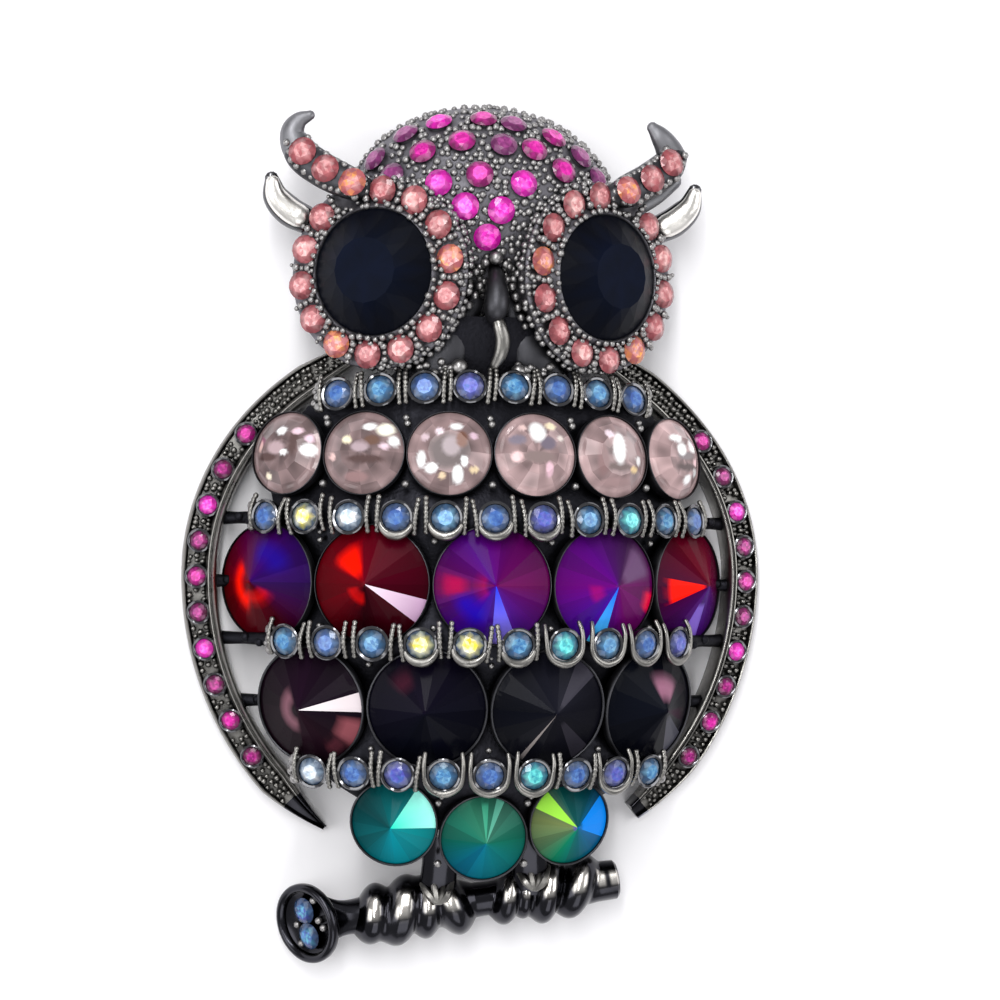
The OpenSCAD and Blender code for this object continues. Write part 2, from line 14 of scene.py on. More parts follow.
import bpy
import numpy as np
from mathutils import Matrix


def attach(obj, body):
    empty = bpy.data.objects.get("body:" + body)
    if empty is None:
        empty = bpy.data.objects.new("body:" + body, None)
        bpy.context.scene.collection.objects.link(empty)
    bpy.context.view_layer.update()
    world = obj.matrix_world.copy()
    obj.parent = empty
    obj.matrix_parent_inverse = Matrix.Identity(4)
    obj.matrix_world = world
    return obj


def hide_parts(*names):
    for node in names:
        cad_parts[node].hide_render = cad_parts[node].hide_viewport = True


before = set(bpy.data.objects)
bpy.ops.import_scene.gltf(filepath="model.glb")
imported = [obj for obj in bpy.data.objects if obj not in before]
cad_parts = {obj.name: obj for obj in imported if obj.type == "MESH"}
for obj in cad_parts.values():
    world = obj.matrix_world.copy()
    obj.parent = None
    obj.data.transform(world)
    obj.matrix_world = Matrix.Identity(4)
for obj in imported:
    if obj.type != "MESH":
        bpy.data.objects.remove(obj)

LOG = logging.getLogger("owl_brooch")
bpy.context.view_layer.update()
MM = 0.001
TAU = 2.0 * math.pi


class Side(Enum):
    """The two sides of the owl, as the viewer sees them."""

    LEFT = -1
    RIGHT = 1


class Kind(Enum):
    """Kinds of stone in the rows of the dome."""

    BLUE = "blue"
    CLEAR = "clear"
    RED = "red"
    PURPLE = "purple"
    TEAL = "teal"


# ---- surfaces -------------------------------------------------------------------------------------


@dataclass
class Surface:
    """A closed mesh before it becomes a Blender piece.

    Attributes:
        points: Corners in millimetres, one row each.
        faces: One array for each number of corners, a face a row.
        tints: None, or arrays like faces that hold a linear colour for each corner of each face.
    """

    points: np.ndarray
    faces: list[np.ndarray]
    tints: list[np.ndarray] | None = None

    def copied(self, frames: np.ndarray) -> "Surface":
        """Copies the surface to each frame: a point p goes to R p + t.

        Args:
            frames: Array (n, 3, 4) of matrices [R t].

        Returns:
            One surface that holds all the copies.
        """
        n, k = len(frames), len(self.points)
        moved = np.einsum("nij,kj->nki", frames[:, :, :3], self.points) + frames[:, None, :, 3]
        step = (np.arange(n) * k)[:, None, None]
        faces = [(f[None] + step).reshape(-1, f.shape[1]) for f in self.faces]
        tints = self.tints and [np.tile(t, (n, 1, 1)) for t in self.tints]
        return Surface(moved.reshape(-1, 3), faces, tints)


def joined(surfaces: Sequence[Surface]) -> Surface:
    """Puts several surfaces into one.

    Args:
        surfaces: Surfaces that all have tints, or all have none.

    Returns:
        The joined surface, its faces grouped by their number of corners.
    """
    starts = np.cumsum([0] + [len(s.points) for s in surfaces])
    faces: list[np.ndarray] = []
    tints: list[np.ndarray] = []
    for size in sorted({f.shape[1] for s in surfaces for f in s.faces}):
        picked = [(s, i, start) for s, start in zip(surfaces, starts)
                  for i, f in enumerate(s.faces) if f.shape[1] == size]
        faces.append(np.concatenate([s.faces[i] + start for s, i, start in picked]))
        if surfaces[0].tints is not None:
            tints.append(np.concatenate([s.tints[i] for s, i, _ in picked]))
    return Surface(np.concatenate([s.points for s in surfaces]), faces, tints or None)


def signed_volume(points: np.ndarray, faces: Sequence[np.ndarray]) -> float:
    """Sums a . (b x c) / 6 over the triangles that fan out from each face's first corner.

    Args:
        points: Corners of the mesh.
        faces: Arrays of faces.

    Returns:
        The enclosed volume, negative where the faces point inwards.
    """
    total = 0.0
    for f in faces:
        for k in range(1, f.shape[1] - 1):
            a, b, c = points[f[:, 0]], points[f[:, k]], points[f[:, k + 1]]
            total += float(np.einsum("ij,ij->", a, np.cross(b, c))) / 6.0
    return total


def skin(rings: np.ndarray, looped: bool = False) -> Surface:
    """Joins rings of points into a closed skin with outward faces.

    A quad joins point j of ring k with its neighbours in the ring and in the next ring. A first or last
    ring whose points coincide becomes one point; any other open end gets a flat cap.

    Args:
        rings: Array (rings, points, 3).
        looped: Whether the last ring is joined to the first.

    Returns:
        The closed surface.
    """
    m, n = rings.shape[:2]
    points = rings.reshape(-1, 3).copy()
    j = np.arange(n)
    k = np.arange(m if looped else m - 1)[:, None]
    k2 = (k + 1) % m
    quads = np.stack([k * n + j, k * n + (j + 1) % n, k2 * n + (j + 1) % n, k2 * n + j], -1)
    faces: list[np.ndarray] = []
    triangles: list[np.ndarray] = []
    first, last = 0, len(quads)
    if not looped:
        if np.ptp(rings[0], axis=0).max() < 1e-9:
            triangles.append(np.stack([np.full(n, 0), quads[0, :, 2], quads[0, :, 3]], -1))
            first = 1
        else:
            faces.append(j[::-1][None])
        if np.ptp(rings[-1], axis=0).max() < 1e-9:
            triangles.append(np.stack([quads[-1, :, 0], quads[-1, :, 1], np.full(n, (m - 1) * n)], -1))
            last -= 1
        else:
            faces.append(((m - 1) * n + j)[None])
    faces.append(quads[first:last].reshape(-1, 4))
    if triangles:
        faces.append(np.concatenate(triangles))
    faces = [f for f in faces if len(f)]
    if signed_volume(points, faces) < 0.0:
        faces = [f[:, ::-1] for f in faces]
    used, back = np.unique(np.concatenate([f.ravel() for f in faces]), return_inverse=True)
    ends = np.cumsum([0] + [f.size for f in faces])
    faces = [back[a:b].reshape(f.shape) for a, b, f in zip(ends[:-1], ends[1:], faces)]
    by_size = {size: [f for f in faces if f.shape[1] == size] for size in {f.shape[1] for f in faces}}
    return Surface(points[used], [np.concatenate(same) for same in by_size.values()])


def circle(points: int) -> np.ndarray:
    """Angles of points spread evenly round a circle."""
    return np.arange(points) * TAU / points


def polar(radius: float | np.ndarray, angle: np.ndarray, z: float | np.ndarray) -> np.ndarray:
    """Points (r cos a, r sin a, z), with the three spread to one shape."""
    return np.stack(np.broadcast_arrays(radius * np.cos(angle), radius * np.sin(angle), z), -1)


def revolved(profile: Sequence[Sequence[float]], sides: int, looped: bool = False) -> Surface:
    """Turns a profile of (radius, height) pairs round Z: each gives a ring of r (cos a, sin a).

    Args:
        profile: Pairs that run up the outside, over the top and down the inside.
        sides: Points in a ring.
        looped: Whether the profile closes on itself, as on a collar.

    Returns:
        The closed surface.
    """
    rz = np.asarray(profile, float)
    return skin(polar(rz[:, :1], circle(sides), rz[:, 1:]), looped)


def unit(v: np.ndarray) -> np.ndarray:
    """Scales vectors to length one."""
    return v / np.linalg.norm(v, axis=-1, keepdims=True)


def tube(path: np.ndarray, radii: np.ndarray, sides: int = 10, up: Sequence[float] = (0, 0, 1),
         flat: float = 1.0) -> Surface:
    """Carries a circle along a path and rounds both ends with half balls.

    The ring at a point is c + r (cos a S + flat sin a U), where S is across the path and U is nearest to up.

    Args:
        path: Points of the centre line.
        radii: A radius for each point.
        sides: Points in a ring.
        up: Direction that no stretch of the path follows.
        flat: Height of the section as a share of its width.

    Returns:
        The closed surface.
    """
    path, radii = np.asarray(path, float), np.broadcast_to(np.asarray(radii, float), (len(path),))
    along = unit(np.gradient(path, axis=0))
    lift = np.radians([90.0, 60.0, 30.0])[:, None]
    head = path[0] - along[0] * radii[0] * np.sin(lift)
    tail = path[-1] + along[-1] * radii[-1] * np.sin(lift[::-1])
    centres = np.concatenate([head, path, tail])
    r = np.concatenate([radii[0] * np.cos(lift[:, 0]), radii, radii[-1] * np.cos(lift[::-1, 0])])
    r[[0, -1]] = 0.0
    t = np.concatenate([np.repeat(along[:1], 3, 0), along, np.repeat(along[-1:], 3, 0)])
    across = unit(np.cross(np.asarray(up, float), t))
    over = np.cross(t, across)
    a = circle(sides)[None, :, None]
    ring = np.cos(a) * across[:, None] + flat * np.sin(a) * over[:, None]
    return skin(centres[:, None] + r[:, None, None] * ring)


def smooth_path(points: Sequence[Sequence[float]], steps: int) -> np.ndarray:
    """Runs a smooth curve through points, with any further columns such as radii carried along.

    Each stretch is the cubic whose end slopes are half the chord between the neighbours on both sides.

    Args:
        points: Rows of coordinates and other values.
        steps: Samples on the whole curve.

    Returns:
        Array (steps, columns).
    """
    p = np.asarray(points, float)
    slope = np.gradient(p, axis=0)
    t = np.linspace(0.0, len(p) - 1.0, steps)
    i = np.minimum(t.astype(int), len(p) - 2)
    s = (t - i)[:, None]
    h00, h10 = 2 * s**3 - 3 * s**2 + 1, s**3 - 2 * s**2 + s
    h01, h11 = -2 * s**3 + 3 * s**2, s**3 - s**2
    return h00 * p[i] + h10 * slope[i] + h01 * p[i + 1] + h11 * slope[i + 1]


def swept(rows: Sequence[Sequence[float]], steps: int, sides: int = 16, flat: float = 1.0, up: float = 0.0,
          mirror: int = 1) -> Surface:
    """Carries a round section along the smooth path through rows of x, y, z and radius.

    Args:
        rows: Rows of the path in millimetres.
        steps: Samples on the path.
        sides: Points in a ring.
        flat: Height of the section as a share of its width.
        up: Height above the rims' widest line from which the rows' y counts.
        mirror: -1 to turn x round.

    Returns:
        The closed surface, shifted as the owl is.
    """
    course = smooth_path(rows, steps)
    return tube(course[:, :3] * [mirror, 1, 1] + [0, up, 0] + OWL.shift, course[:, 3], sides, flat=flat)


def turn_about(axis: int, degrees: float | np.ndarray) -> np.ndarray:
    """Matrices that turn about an axis: 0 for X, 1 for Y and 2 for Z.

    Args:
        axis: Number of the axis.
        degrees: One angle, or an array of them.

    Returns:
        Array (..., 3, 3).
    """
    a = np.radians(np.asarray(degrees, float))
    m = np.zeros(a.shape + (3, 3))
    i, j = (axis + 1) % 3, (axis + 2) % 3
    m[..., axis, axis] = 1.0
    m[..., i, i] = m[..., j, j] = np.cos(a)
    m[..., j, i], m[..., i, j] = np.sin(a), -np.sin(a)
    return m


def frames_at(points: np.ndarray, turns: np.ndarray | None = None,
              sizes: float | np.ndarray = 1.0) -> np.ndarray:
    """Makes frames [size R, point] for copies of a surface.

    Args:
        points: Array (n, 3).
        turns: None, one matrix or n matrices.
        sizes: One size or n sizes.

    Returns:
        Array (n, 3, 4).
    """
    points = np.atleast_2d(points)
    turns = np.eye(3) if turns is None else turns
    scaled = np.broadcast_to(turns, (len(points), 3, 3)) * np.broadcast_to(sizes, (len(points),))[:, None,
                                                                                                  None]
    return np.concatenate([scaled, points[:, :, None]], -1)


def in_frames(frames: np.ndarray, local: np.ndarray) -> np.ndarray:
    """Takes local points to the owl: all of them for each frame, in one list."""
    return (np.einsum("nij,kj->nki", frames[:, :, :3], np.atleast_2d(local)) + frames[:, None, :,
                                                                                      3]).reshape(-1, 3)


def nearest(points: np.ndarray, others: np.ndarray) -> np.ndarray:
    """Distance of each point from the nearest of some others."""
    return np.linalg.norm(points[:, None] - others[None], axis=-1).min(1)


def lofted(rings: Sequence[np.ndarray], steps: int) -> Surface:
    """Skins rings, with more of them between on the smooth path through their points."""
    return skin(smooth_path(np.array(rings).reshape(len(rings), -1), steps).reshape(steps, -1, 3))


def grain(sides: int = 8) -> Surface:
    """A ball of radius one for grains of metal, with a few dozen faces."""
    a = np.radians([-90.0, -50.0, -17.0, 17.0, 50.0, 90.0])
    return revolved(np.stack([np.where(np.abs(a) > 1.5, 0.0, np.cos(a)), np.sin(a)], -1), sides)


# ---- sizes that the sub-assemblies share ----------------------------------------------------------


@dataclass(frozen=True)
class Cut:
    """Cut of a stone: diameter and main facets, then shares of the diameter."""

    diameter: float
    mains: int
    crown: float
    table: float
    depth: float


@dataclass(frozen=True)
class Row:
    """A row of stones; its columns are those of the table in the part's source."""

    kind: Kind
    count: int
    step: float
    height: float
    pitch: float
    bow: float
    lean: float


@dataclass(frozen=True)
class Layout:
    """Sizes of the casting in millimetres, with the places that follow from them."""

    wing_half_w: float = 25.15
    wing_rise: float = 22.4
    wing_fall: float = 27.0
    rim_w: float = 3.0
    rim_h: float = 2.9
    rim_top_angle: float = 68.0
    rim_climb_angle: float = 36.0
    rim_lift: float = 0.42
    dome_r: float = 26.0
    dome_h: float = 13.6
    throat_y: float = 15.1
    blue_d: float = 2.35
    shell_t: float = 0.8
    eye_rise: float = 10.1
    eye_x: float = 9.6
    eye_z: float = 8.8
    eye_turn: float = 31.0
    eye_ring_r: float = 6.85
    eye_up: float = 0.55
    crown_half_w: float = 12.0
    crown_half_l: float = 9.3
    crown_rise: float = 9.0
    crown_up: float = 5.9
    crown_z: float = 2.5
    branch_l: float = 22.9
    branch_r: float = 3.0
    branch_climb: float = 7.6
    branch_start: float = 0.45
    leg_l: float = 7.1
    disc_r: float = 3.45
    disc_turn: float = 50.0
    disc_neck_l: float = 2.7
    rows: tuple[Row, ...] = (
        Row(Kind.BLUE, 8, 0.00, 0.80, 1.60, 0.30, 12),
        Row(Kind.CLEAR, 6, 0.64, 0.84, 1.04, 0.00, 9),
        Row(Kind.BLUE, 11, 0.80, 0.98, 1.74, 0.00, 4),
        Row(Kind.RED, 5, 0.28, 0.88, 1.03, 0.00, 0),
        Row(Kind.BLUE, 10, 0.02, 1.00, 1.72, 0.00, -4),
        Row(Kind.PURPLE, 4, 0.23, 0.79, 1.05, 0.00, -8),
        Row(Kind.BLUE, 9, 0.26, 0.87, 1.62, 0.00, -10),
        Row(Kind.TEAL, 3, 0.32, 0.64, 1.06, -0.50, -10),
    )
    shell: tuple[tuple[float, float], ...] = (
        (0.14, 1.30), (0.12, 1.20), (0.13, 1.03), (0.10, 1.15),
        (0.14, 1.04), (0.10, 1.19), (0.13, 1.04), (0.10, 1.28),
    )

    @property
    def eye_y(self) -> float:
        """Height of the eyes above the rims' widest line."""
        return self.throat_y + self.eye_rise

    @property
    def crown_y(self) -> float:
        """Height of the crown's middle above the same line."""
        return self.eye_y + self.crown_up

    @property
    def branch_y(self) -> float:
        """Height of the branch's middle above the same line."""
        return float(self.row_y(len(self.rows) - 1)) - self.leg_l

    def branch_line(self, x: float) -> float:
        """Height of the branch's line above the same line, at a distance from its middle."""
        return self.branch_y + x * math.sin(math.radians(self.branch_climb))

    @property
    def branch_z(self) -> float:
        """Height of the branch's line above the back."""
        return 1.06 * self.branch_r

    @property
    def disc_climb(self) -> float:
        """Turn of the end disc about Z in degrees, steeper than the branch's."""
        return 1.6 * self.branch_climb

    @property
    def disc_at(self) -> np.ndarray:
        """Middle of the end disc, before the shift."""
        x = -self.branch_l / 2 - self.disc_neck_l
        return np.array([x, self.branch_line(x), self.branch_z])

    @property
    def shift(self) -> np.ndarray:
        """Shift that centres the owl's box on the origin along Y."""
        climb, turned = math.radians(self.disc_climb), math.radians(self.disc_turn)
        low = self.disc_at[1] - self.disc_r * math.cos(climb) - 0.6 * math.sin(turned) * math.sin(climb)
        return np.array([0.0, -(self.crown_y + self.crown_half_l + low) / 2, 0.0])

    def row_y(self, row: int) -> float:
        """Height of a row above the rims' widest line, stepped down from the throat.

        Args:
            row: Number of the row, from the throat down.

        Returns:
            The height before the shift.
        """
        y = self.throat_y
        for k in range(1, row + 1):
            larger = max(CUTS[self.rows[k].kind].diameter, CUTS[self.rows[k - 1].kind].diameter)
            y -= larger / 2 + self.rows[k].step * self.blue_d
        return y

    def half_row(self, row: int) -> float:
        """Half of the length of a row between its end stones."""
        r = self.rows[row]
        return (r.count - 1) / 2 * r.pitch * CUTS[r.kind].diameter

    def on_row(self, row: int, s: np.ndarray, up: float | np.ndarray) -> np.ndarray:
        """Points over the dome: (R + up) (sin t, ., cos t) with t = s / R, bowed and leaned as the row is.

        Args:
            row: Number of the row.
            s: Distances along the row from its middle.
            up: Height off the plane of the girdles.

        Returns:
            Array (n, 3), shifted.
        """
        r, t = self.rows[row], np.asarray(s, float) / self.dome_r
        y = self.row_y(row) + r.bow * self.blue_d * (1 - (np.asarray(s) / self.half_row(row)) ** 2)
        y = y + up * math.sin(math.radians(r.lean))
        z = r.height * self.dome_h - self.dome_r + (self.dome_r + up) * np.cos(t)
        return np.stack(np.broadcast_arrays((self.dome_r + up) * np.sin(t), y, z), -1) + self.shift

    def row_frames(self, row: int, fewer: int = 0, up: float = 0.0) -> np.ndarray:
        """Frames of a row's stones, with Z along each stone's axis.

        Args:
            row: Number of the row.
            fewer: 1 for the places midway between neighbouring stones.
            up: Height off the plane of the girdles.

        Returns:
            Array (n, 3, 4).
        """
        r = self.rows[row]
        count = r.count - fewer
        s = (np.arange(count) - (count - 1) / 2) * r.pitch * CUTS[r.kind].diameter
        turns = turn_about(1, np.degrees(s / self.dome_r)) @ turn_about(0, -r.lean)
        return frames_at(self.on_row(row, s, up), turns)

    def rim_point(self, degrees: np.ndarray, inward: float | np.ndarray, z: float | np.ndarray,
                  side: Side) -> np.ndarray:
        """Points of a rim: an ellipse's point moved in along its normal, lifted towards the head.

        Args:
            degrees: Angles on the ellipse.
            inward: Distance in from the outer edge.
            z: Height above the back.
            side: Side of the owl.

        Returns:
            Array (n, 3), shifted.
        """
        degrees = np.asarray(degrees, float)
        a, b = np.radians(degrees), np.where(degrees > 0, self.wing_rise, self.wing_fall)
        out = unit(np.stack([np.cos(a) / self.wing_half_w, np.sin(a) / b], -1))
        climbed = np.maximum(degrees - self.rim_climb_angle, 0) / (self.rim_top_angle - self.rim_climb_angle)
        x = self.wing_half_w * np.cos(a) - inward * out[..., 0]
        y = b * np.sin(a) - inward * out[..., 1]
        lifted = z + self.rim_lift * self.eye_z * climbed**2
        return np.stack(np.broadcast_arrays(side.value * x, y, lifted), -1) + self.shift

    def rim_angle(self, y: np.ndarray, inward: float) -> np.ndarray:
        """Angles at which a rim's line passes heights above its widest line."""
        y = np.asarray(y, float)
        return np.degrees(np.arcsin(y / (np.where(y > 0, self.wing_rise, self.wing_fall) - inward)))

    def eye_frame(self, side: Side) -> np.ndarray:
        """Frame of an eye, with Z along the way that the eye looks."""
        place = np.array([side.value * self.eye_x, self.eye_y, self.eye_z]) + self.shift
        return frames_at(place, turn_about(1, side.value * self.eye_turn))

    def from_eye(self, side: Side, rows: Sequence[Sequence[float]]) -> np.ndarray:
        """Takes shares of the eye ring's radius to points: across, up and height from the eye's middle."""
        q = np.asarray(rows, float)[:, :3] * self.eye_ring_r
        place = np.array([self.eye_x, self.eye_y, self.eye_z])
        return (q + place) * [side.value, 1, 1] + self.shift


CUTS = {
    Kind.BLUE: Cut(2.35, 8, 0.13, 0.55, 0.34),
    Kind.CLEAR: Cut(6.9, 12, 0.16, 0.52, 0.36),
    Kind.RED: Cut(9.7, 18, 0.23, 0.05, 0.22),
    Kind.PURPLE: Cut(9.7, 18, 0.23, 0.05, 0.22),
    Kind.TEAL: Cut(7.1, 16, 0.24, 0.06, 0.24),
}
EYE_CUT = Cut(10.5, 16, 0.17, 0.52, 0.24)
BROW_CUT = Cut(2.2, 8, 0.13, 0.55, 0.34)
CROWN_CUT = Cut(2.1, 8, 0.13, 0.55, 0.32)
RIM_CUT = Cut(1.6, 8, 0.14, 0.55, 0.34)
PERCH_CUT = Cut(2.0, 8, 0.13, 0.55, 0.32)
OWL = Layout()


# ---- finishes ---------------------------------------------------------------------------------------


def linear(code: str) -> tuple[float, float, float, float]:
    """Turns an sRGB hex code linear: c / 12.92 up to 0.04045, else ((c + 0.055) / 1.055)^2.4."""
    c = np.array([int(code[i:i + 2], 16) for i in (1, 3, 5)]) / 255.0
    rgb = np.where(c <= 0.04045, c / 12.92, ((c + 0.055) / 1.055) ** 2.4)
    return (*map(float, rgb), 1.0)


def add_node(tree: bpy.types.NodeTree, kind: str, inputs: dict | None = None,
             **options: object) -> bpy.types.Node:
    """Adds a node, sets its options and fills its inputs.

    Args:
        tree: Tree that gets the node.
        kind: Blender's name for the node's type.
        inputs: Socket names or numbers with values, or with output sockets to link.
        options: Properties of the node.

    Returns:
        The node.
    """
    made = tree.nodes.new(kind)
    for name, value in options.items():
        setattr(made, name, value)
    for name, value in (inputs or {}).items():
        if isinstance(value, bpy.types.NodeSocket):
            tree.links.new(value, made.inputs[name])
        else:
            made.inputs[name].default_value = value
    return made


@dataclass(frozen=True)
class Finish:
    """A finish, whose kinds say in shade() how light meets it; name is its material's."""

    name: str

    def material(self) -> bpy.types.Material:
        """Builds the material, or finds it where it exists.

        Returns:
            The material.
        """
        if self.name not in bpy.data.materials:
            made = bpy.data.materials.new(self.name)
            made.use_nodes = True
            self.shade(made.node_tree, made.node_tree.nodes["Principled BSDF"])
        return bpy.data.materials[self.name]

    def shade(self, tree: bpy.types.NodeTree, shader: bpy.types.Node) -> None:
        """Sets the shader of a new material up."""
        raise NotImplementedError


@dataclass(frozen=True)
class Paper(Finish):
    """Matt paper, which the lights bring close to white."""

    colour: str
    roughness: float

    def shade(self, tree: bpy.types.NodeTree, shader: bpy.types.Node) -> None:
        """Sets the paper's colour and its matt skin."""
        shader.inputs["Base Color"].default_value = linear(self.colour)
        shader.inputs["Roughness"].default_value = self.roughness


@dataclass(frozen=True)
class Metal(Finish):
    """A metal with cast or polished skin.

    Attributes:
        colour: Colour of the metal, as a hex code.
        hollow: Colour where grime stays in the hollows.
        roughness: Least and greatest roughness, blended by a soft noise.
        bump: Height of the skin's unevenness in millimetres.
        grain: Size of that unevenness in millimetres.
        reach: Distance in millimetres within which other metal counts as a hollow.
        worn: Colour of a painted highlight, where the mesh's tints are white, or None for a mesh without
            tints.
    """

    colour: str
    hollow: str
    roughness: tuple[float, float]
    bump: float
    grain: float
    reach: float = 0.7
    worn: str | None = None

    def shade(self, tree: bpy.types.NodeTree, shader: bpy.types.Node) -> None:
        """Makes a metallic shader: noise wavers its roughness and bumps its skin, and hollows turn darker.

        Args:
            tree: Node tree of the material.
            shader: Its shader.
        """
        place = add_node(tree, "ShaderNodeTexCoord").outputs["Object"]
        # The eye sees patches of duller and brighter metal a few grains wide
        patches = add_node(tree, "ShaderNodeTexNoise",
                           {"Vector": place, "Scale": 1.0 / (self.grain * 4 * MM)})
        rough = add_node(tree, "ShaderNodeMapRange", {
            "Value": patches.outputs["Fac"], "From Min": 0.35, "From Max": 0.65, "To Min": self.roughness[0],
            "To Max": self.roughness[1]})
        # The cast skin's fine unevenness breaks up the reflections
        skin_noise = add_node(tree, "ShaderNodeTexNoise", {
            "Vector": place, "Scale": 1.0 / (self.grain * MM), "Detail": 3.0})
        bump = add_node(tree, "ShaderNodeBump", {
            "Height": skin_noise.outputs["Fac"], "Strength": 1.0, "Distance": self.bump * MM})
        # Black finish stays in the hollows and wears off the heights
        hollow = add_node(tree, "ShaderNodeAmbientOcclusion", {"Distance": self.reach * MM}, samples=6)
        mix = add_node(tree, "ShaderNodeMix", {
            "Factor": hollow.outputs["AO"], 6: linear(self.hollow), 7: linear(self.colour)}, data_type="RGBA")
        if self.worn:
            # Painted highlight: where the mesh's tints are white the colour turns to that of the highlight,
            # and the crests flash white
            painted_highlight = add_node(tree, "ShaderNodeAttribute", attribute_name="tint")
            mix = add_node(tree, "ShaderNodeMix", {
                "Factor": painted_highlight.outputs["Fac"], 6: mix.outputs[2], 7: linear(self.worn)}, data_type="RGBA")
        tree.links.new(mix.outputs[2], shader.inputs["Base Color"])
        tree.links.new(rough.outputs["Result"], shader.inputs["Roughness"])
        tree.links.new(bump.outputs["Normal"], shader.inputs["Normal"])
        shader.inputs["Metallic"].default_value = 1.0


@dataclass(frozen=True)
class FoiledGlass(Finish):
    """Cut glass with foil behind it, whose facets carry the tints that the foil throws back.

    Attributes:
        metallic: Share of the light that comes back from the foil like a mirror's.
        roughness: Blur of that light.
        coat: Strength of the polished glass surface over it.
        gloss: Level of the glass's own reflection, 0.5 for clean glass.
    """

    metallic: float
    roughness: float
    coat: float = 1.0
    gloss: float = 0.5

    def shade(self, tree: bpy.types.NodeTree, shader: bpy.types.Node) -> None:
        """Colours the shader by the mesh's tints, under a clear coat.

        Args:
            tree: Node tree of the material.
            shader: Its shader.
        """
        # Each facet's tint holds the glass's colour together with painted reflections and flashes from the
        # foil
        tint = add_node(tree, "ShaderNodeAttribute", attribute_name="tint")
        tree.links.new(tint.outputs["Color"], shader.inputs["Base Color"])
        for socket, value in {"Metallic": self.metallic, "Roughness": self.roughness,
                              "Coat Weight": self.coat,
                              "Coat Roughness": 0.03, "Specular IOR Level": self.gloss}.items():
            shader.inputs[socket].default_value = value


# The floor
PAPER = Paper("pale paper", "#fcfbfd", 0.9)
# Blackened casting: mid grey highlights over near-black hollows
GUNMETAL = Metal("gunmetal", "#5a555b", "#070709", (0.22, 0.40), 0.03, 0.35)
# Ground behind the settings: so dark and dull that only the settings are seen
GROUND = Metal("sooty ground", "#26262b", "#030304", (0.40, 0.60), 0.05, 0.3)
# Smooth tips and strut of the tufts: soft grey without sharp reflections
SATIN = Metal("satin gunmetal", "#86868a", "#1c1c20", (0.42, 0.55), 0.012, 0.3, 1.0)
# Beak, cheeks, brows and large settings: the same satin, blackened
SMOKE = Metal("smoked satin", "#4c4c50", "#060607", (0.40, 0.52), 0.012, 0.3, 1.4)
# Worn edges, ridges and grains: brighter than the ground round them
WORN = Metal("worn gunmetal", "#8e8c88", "#0e0e10", (0.26, 0.42), 0.02, 0.3)
# Grains and the ground between them: soft grey, with no deep black
BEADED = Metal("beaded gunmetal", "#a3a1a0", "#525256", (0.36, 0.50), 0.01, 0.3, 0.4)
ASH = Metal("ashen ground", "#7c7a80", "#38383c", (0.50, 0.65), 0.05, 0.3)
# Faces of the leaves below the brows: bright silver
SILVER = Metal("polished silver", "#fbf8f2", "#8a8686", (0.30, 0.44), 0.05, 0.6)
# Legs and the rims' tips: nearly black and glossy
BLACK = Metal("black nickel", "#36363b", "#08080a", (0.14, 0.22), 0.004, 0.6)
# The branch: the same black nickel, with a white highlight painted on the fronts of its crests
HIGHLIT_NICKEL = Metal("rubbed black nickel", "#36363b", "#08080a", (0.14, 0.22), 0.004, 0.6, 0.7, "#fbf6ee")
# The hidden pin: plain drawn steel
STEEL = Metal("pin steel", "#a9a9ab", "#2a2a2c", (0.22, 0.30), 0.005, 0.3)
# Small stones, pointed stones, clear stones and the black eyes
GEM = FoiledGlass("foiled glass", 0.10, 0.25, 0.4)
DEEP = FoiledGlass("deep foiled glass", 0.0, 0.25, 0.0, 0.05)
CRYSTAL = FoiledGlass("foiled crystal", 0.05, 0.2, 0.25, 0.3)
ONYX = FoiledGlass("black glass", 0.0, 0.35, 0.0, 0.05)


# ---- pieces ---------------------------------------------------------------------------------------


def add_piece(name: str, surface: Surface, finish: Finish, sharp: float | None = 40.0,
              nodes: Sequence[str] = ("casting",)) -> None:
    """Makes a piece of the scene from a surface, and lets it ride the brooch.

    Args:
        name: Name of the object.
        surface: Its shape in millimetres.
        finish: Its finish.
        sharp: Angle in degrees past which an edge stays sharp, or None for flat facets.
        nodes: Nodes of the frame that the piece stands for.
    """
    mesh = bpy.data.meshes.new(name)
    mesh.from_pydata(surface.points * MM, [], [face for f in surface.faces for face in f.tolist()])
    if surface.tints is not None:
        tint = mesh.attributes.new("tint", "FLOAT_COLOR", "CORNER")
        tint.data.foreach_set("color", np.concatenate([t.reshape(-1) for t in surface.tints]))
    mesh.polygons.foreach_set("use_smooth", np.full(len(mesh.polygons), sharp is not None))
    if sharp is not None:
        mesh.set_sharp_from_angle(angle=math.radians(sharp))
    mesh.materials.append(finish.material())
    mesh.update()
    piece = bpy.data.objects.new(name, mesh)
    bpy.context.scene.collection.objects.link(piece)
    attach(piece, "root")
    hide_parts(*nodes)
    LOG.info("%s: %d faces", name, len(mesh.polygons))


def nested(outer: np.ndarray, inner: np.ndarray) -> np.ndarray:
    """Places inner frames in outer ones: R = Ro Ri and t = Ro ti + to, for each pair.

    Args:
        outer: Array (n, 3, 4).
        inner: Array (m, 3, 4).

    Returns:
        Array (n m, 3, 4), all the inner frames of the first outer one first.
    """
    turns = np.einsum("nij,mjk->nmik", outer[:, :, :3], inner[:, :, :3])
    places = np.einsum("nij,mj->nmi", outer[:, :, :3], inner[:, :, 3]) + outer[:, None, :, 3]
    return np.concatenate([turns, places[..., None]], -1).reshape(-1, 3, 4)


def grown(frames: np.ndarray, factor: float) -> np.ndarray:
    """Frames whose copies are larger by a factor."""
    return nested(frames, frames_at(np.zeros(3), sizes=factor))


# ---- cut stones -----------------------------------------------------------------------------------


